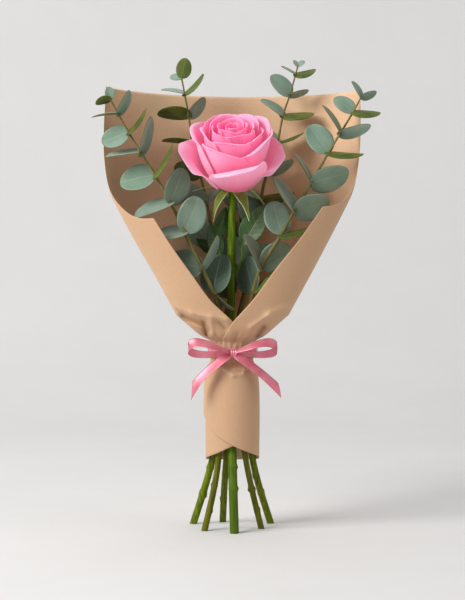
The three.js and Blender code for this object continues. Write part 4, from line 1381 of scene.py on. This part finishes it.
class BOUQUET_OT_stage(bpy.types.Operator):
    """Sets the pale floor and backdrop, the soft lights and the camera"""

    bl_idname = "bouquet.stage"
    bl_label = "Stage"

    def execute(self, context):
        scene = context.scene
        settings = scene.bouquet_stage
        bm = bmesh.new()
        lay_sheet(bm, sweep, *STEPS["floor"])
        mesh = bpy.data.meshes.new("floor_and_backdrop")
        bm.to_mesh(mesh)
        bm.free()
        mesh.polygons.foreach_set("use_smooth", [True] * len(mesh.polygons))
        mesh.materials.append(floor_finish(settings))
        floor = bpy.data.objects.new("floor_and_backdrop", mesh)
        scene.collection.objects.link(floor)

        white, daylight, warm = (1, 1, 1), (1, 0.985, 0.965), (1, 0.9, 0.8)
        hang_lamp("key_light", (-1.55, -1.05, 1.35), 1.3, settings.key_power, daylight, BUNCH_MIDDLE)
        hang_lamp("fill_light", (1.7, -1.0, 0.8), 1.6, settings.fill_power, warm, BUNCH_MIDDLE)
        hang_lamp("backdrop_light", (0, 0.7, 2.6), 2.4, settings.backdrop_power, white, BACKDROP_MIDDLE)

        world = bpy.data.worlds.new("soft_room")
        world.use_nodes = True
        background = world.node_tree.nodes["Background"]
        background.inputs["Color"].default_value = (*white, 1)
        background.inputs["Strength"].default_value = settings.sky
        scene.world = world
        scene.view_settings.view_transform = "Standard"

        lens = bpy.data.cameras.new("front_camera")
        lens.lens = 100
        lens.sensor_width = 36
        camera = bpy.data.objects.new("front_camera", lens)
        aim_at(camera, CAMERA_PLACE + BUNCH_AXIS, CAMERA_AIM + BUNCH_AXIS)
        scene.camera = camera
        return {"FINISHED"}


class BOUQUET_PT_panel(bpy.types.Panel):
    """Lists the bunch's pieces in the order they are made"""

    bl_idname = "BOUQUET_PT_panel"
    bl_label = "Bouquet"
    bl_space_type = "VIEW_3D"
    bl_region_type = "UI"
    bl_category = "Bouquet"

    def draw(self, context):
        for operator in OPERATORS:
            self.layout.operator(operator.bl_idname)
        for settings in SETTINGS:
            box = self.layout.box()
            group = getattr(context.scene, settings)
            for name in group.__annotations__:
                box.prop(group, name)


SETTINGS = {
    "bouquet_stage": StageSettings,
    "bouquet_paper": PaperSettings,
    "bouquet_ribbon": RibbonSettings,
    "bouquet_rose": RoseSettings,
    "bouquet_eucalyptus": EucalyptusSettings,
}
OPERATORS = (
    BOUQUET_OT_stage,
    BOUQUET_OT_kraft_wrap,
    BOUQUET_OT_ribbon_bow,
    BOUQUET_OT_rose_stem,
    BOUQUET_OT_rose_leaves,
    BOUQUET_OT_sepals,
    BOUQUET_OT_petals,
    BOUQUET_OT_eucalyptus,
)


def register():
    for group in (*SETTINGS.values(), *OPERATORS, BOUQUET_PT_panel):
        bpy.utils.register_class(group)
    for name, group in SETTINGS.items():
        setattr(bpy.types.Scene, name, PointerProperty(type=group))


def unregister():
    for name in SETTINGS:
        delattr(bpy.types.Scene, name)
    for group in reversed((*SETTINGS.values(), *OPERATORS, BOUQUET_PT_panel)):
        bpy.utils.unregister_class(group)


def main():
    register()
    for operator in OPERATORS:
        family, name = operator.bl_idname.split(".")
        getattr(getattr(bpy.ops, family), name)()
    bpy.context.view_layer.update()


if __name__ == "__main__":
    main()
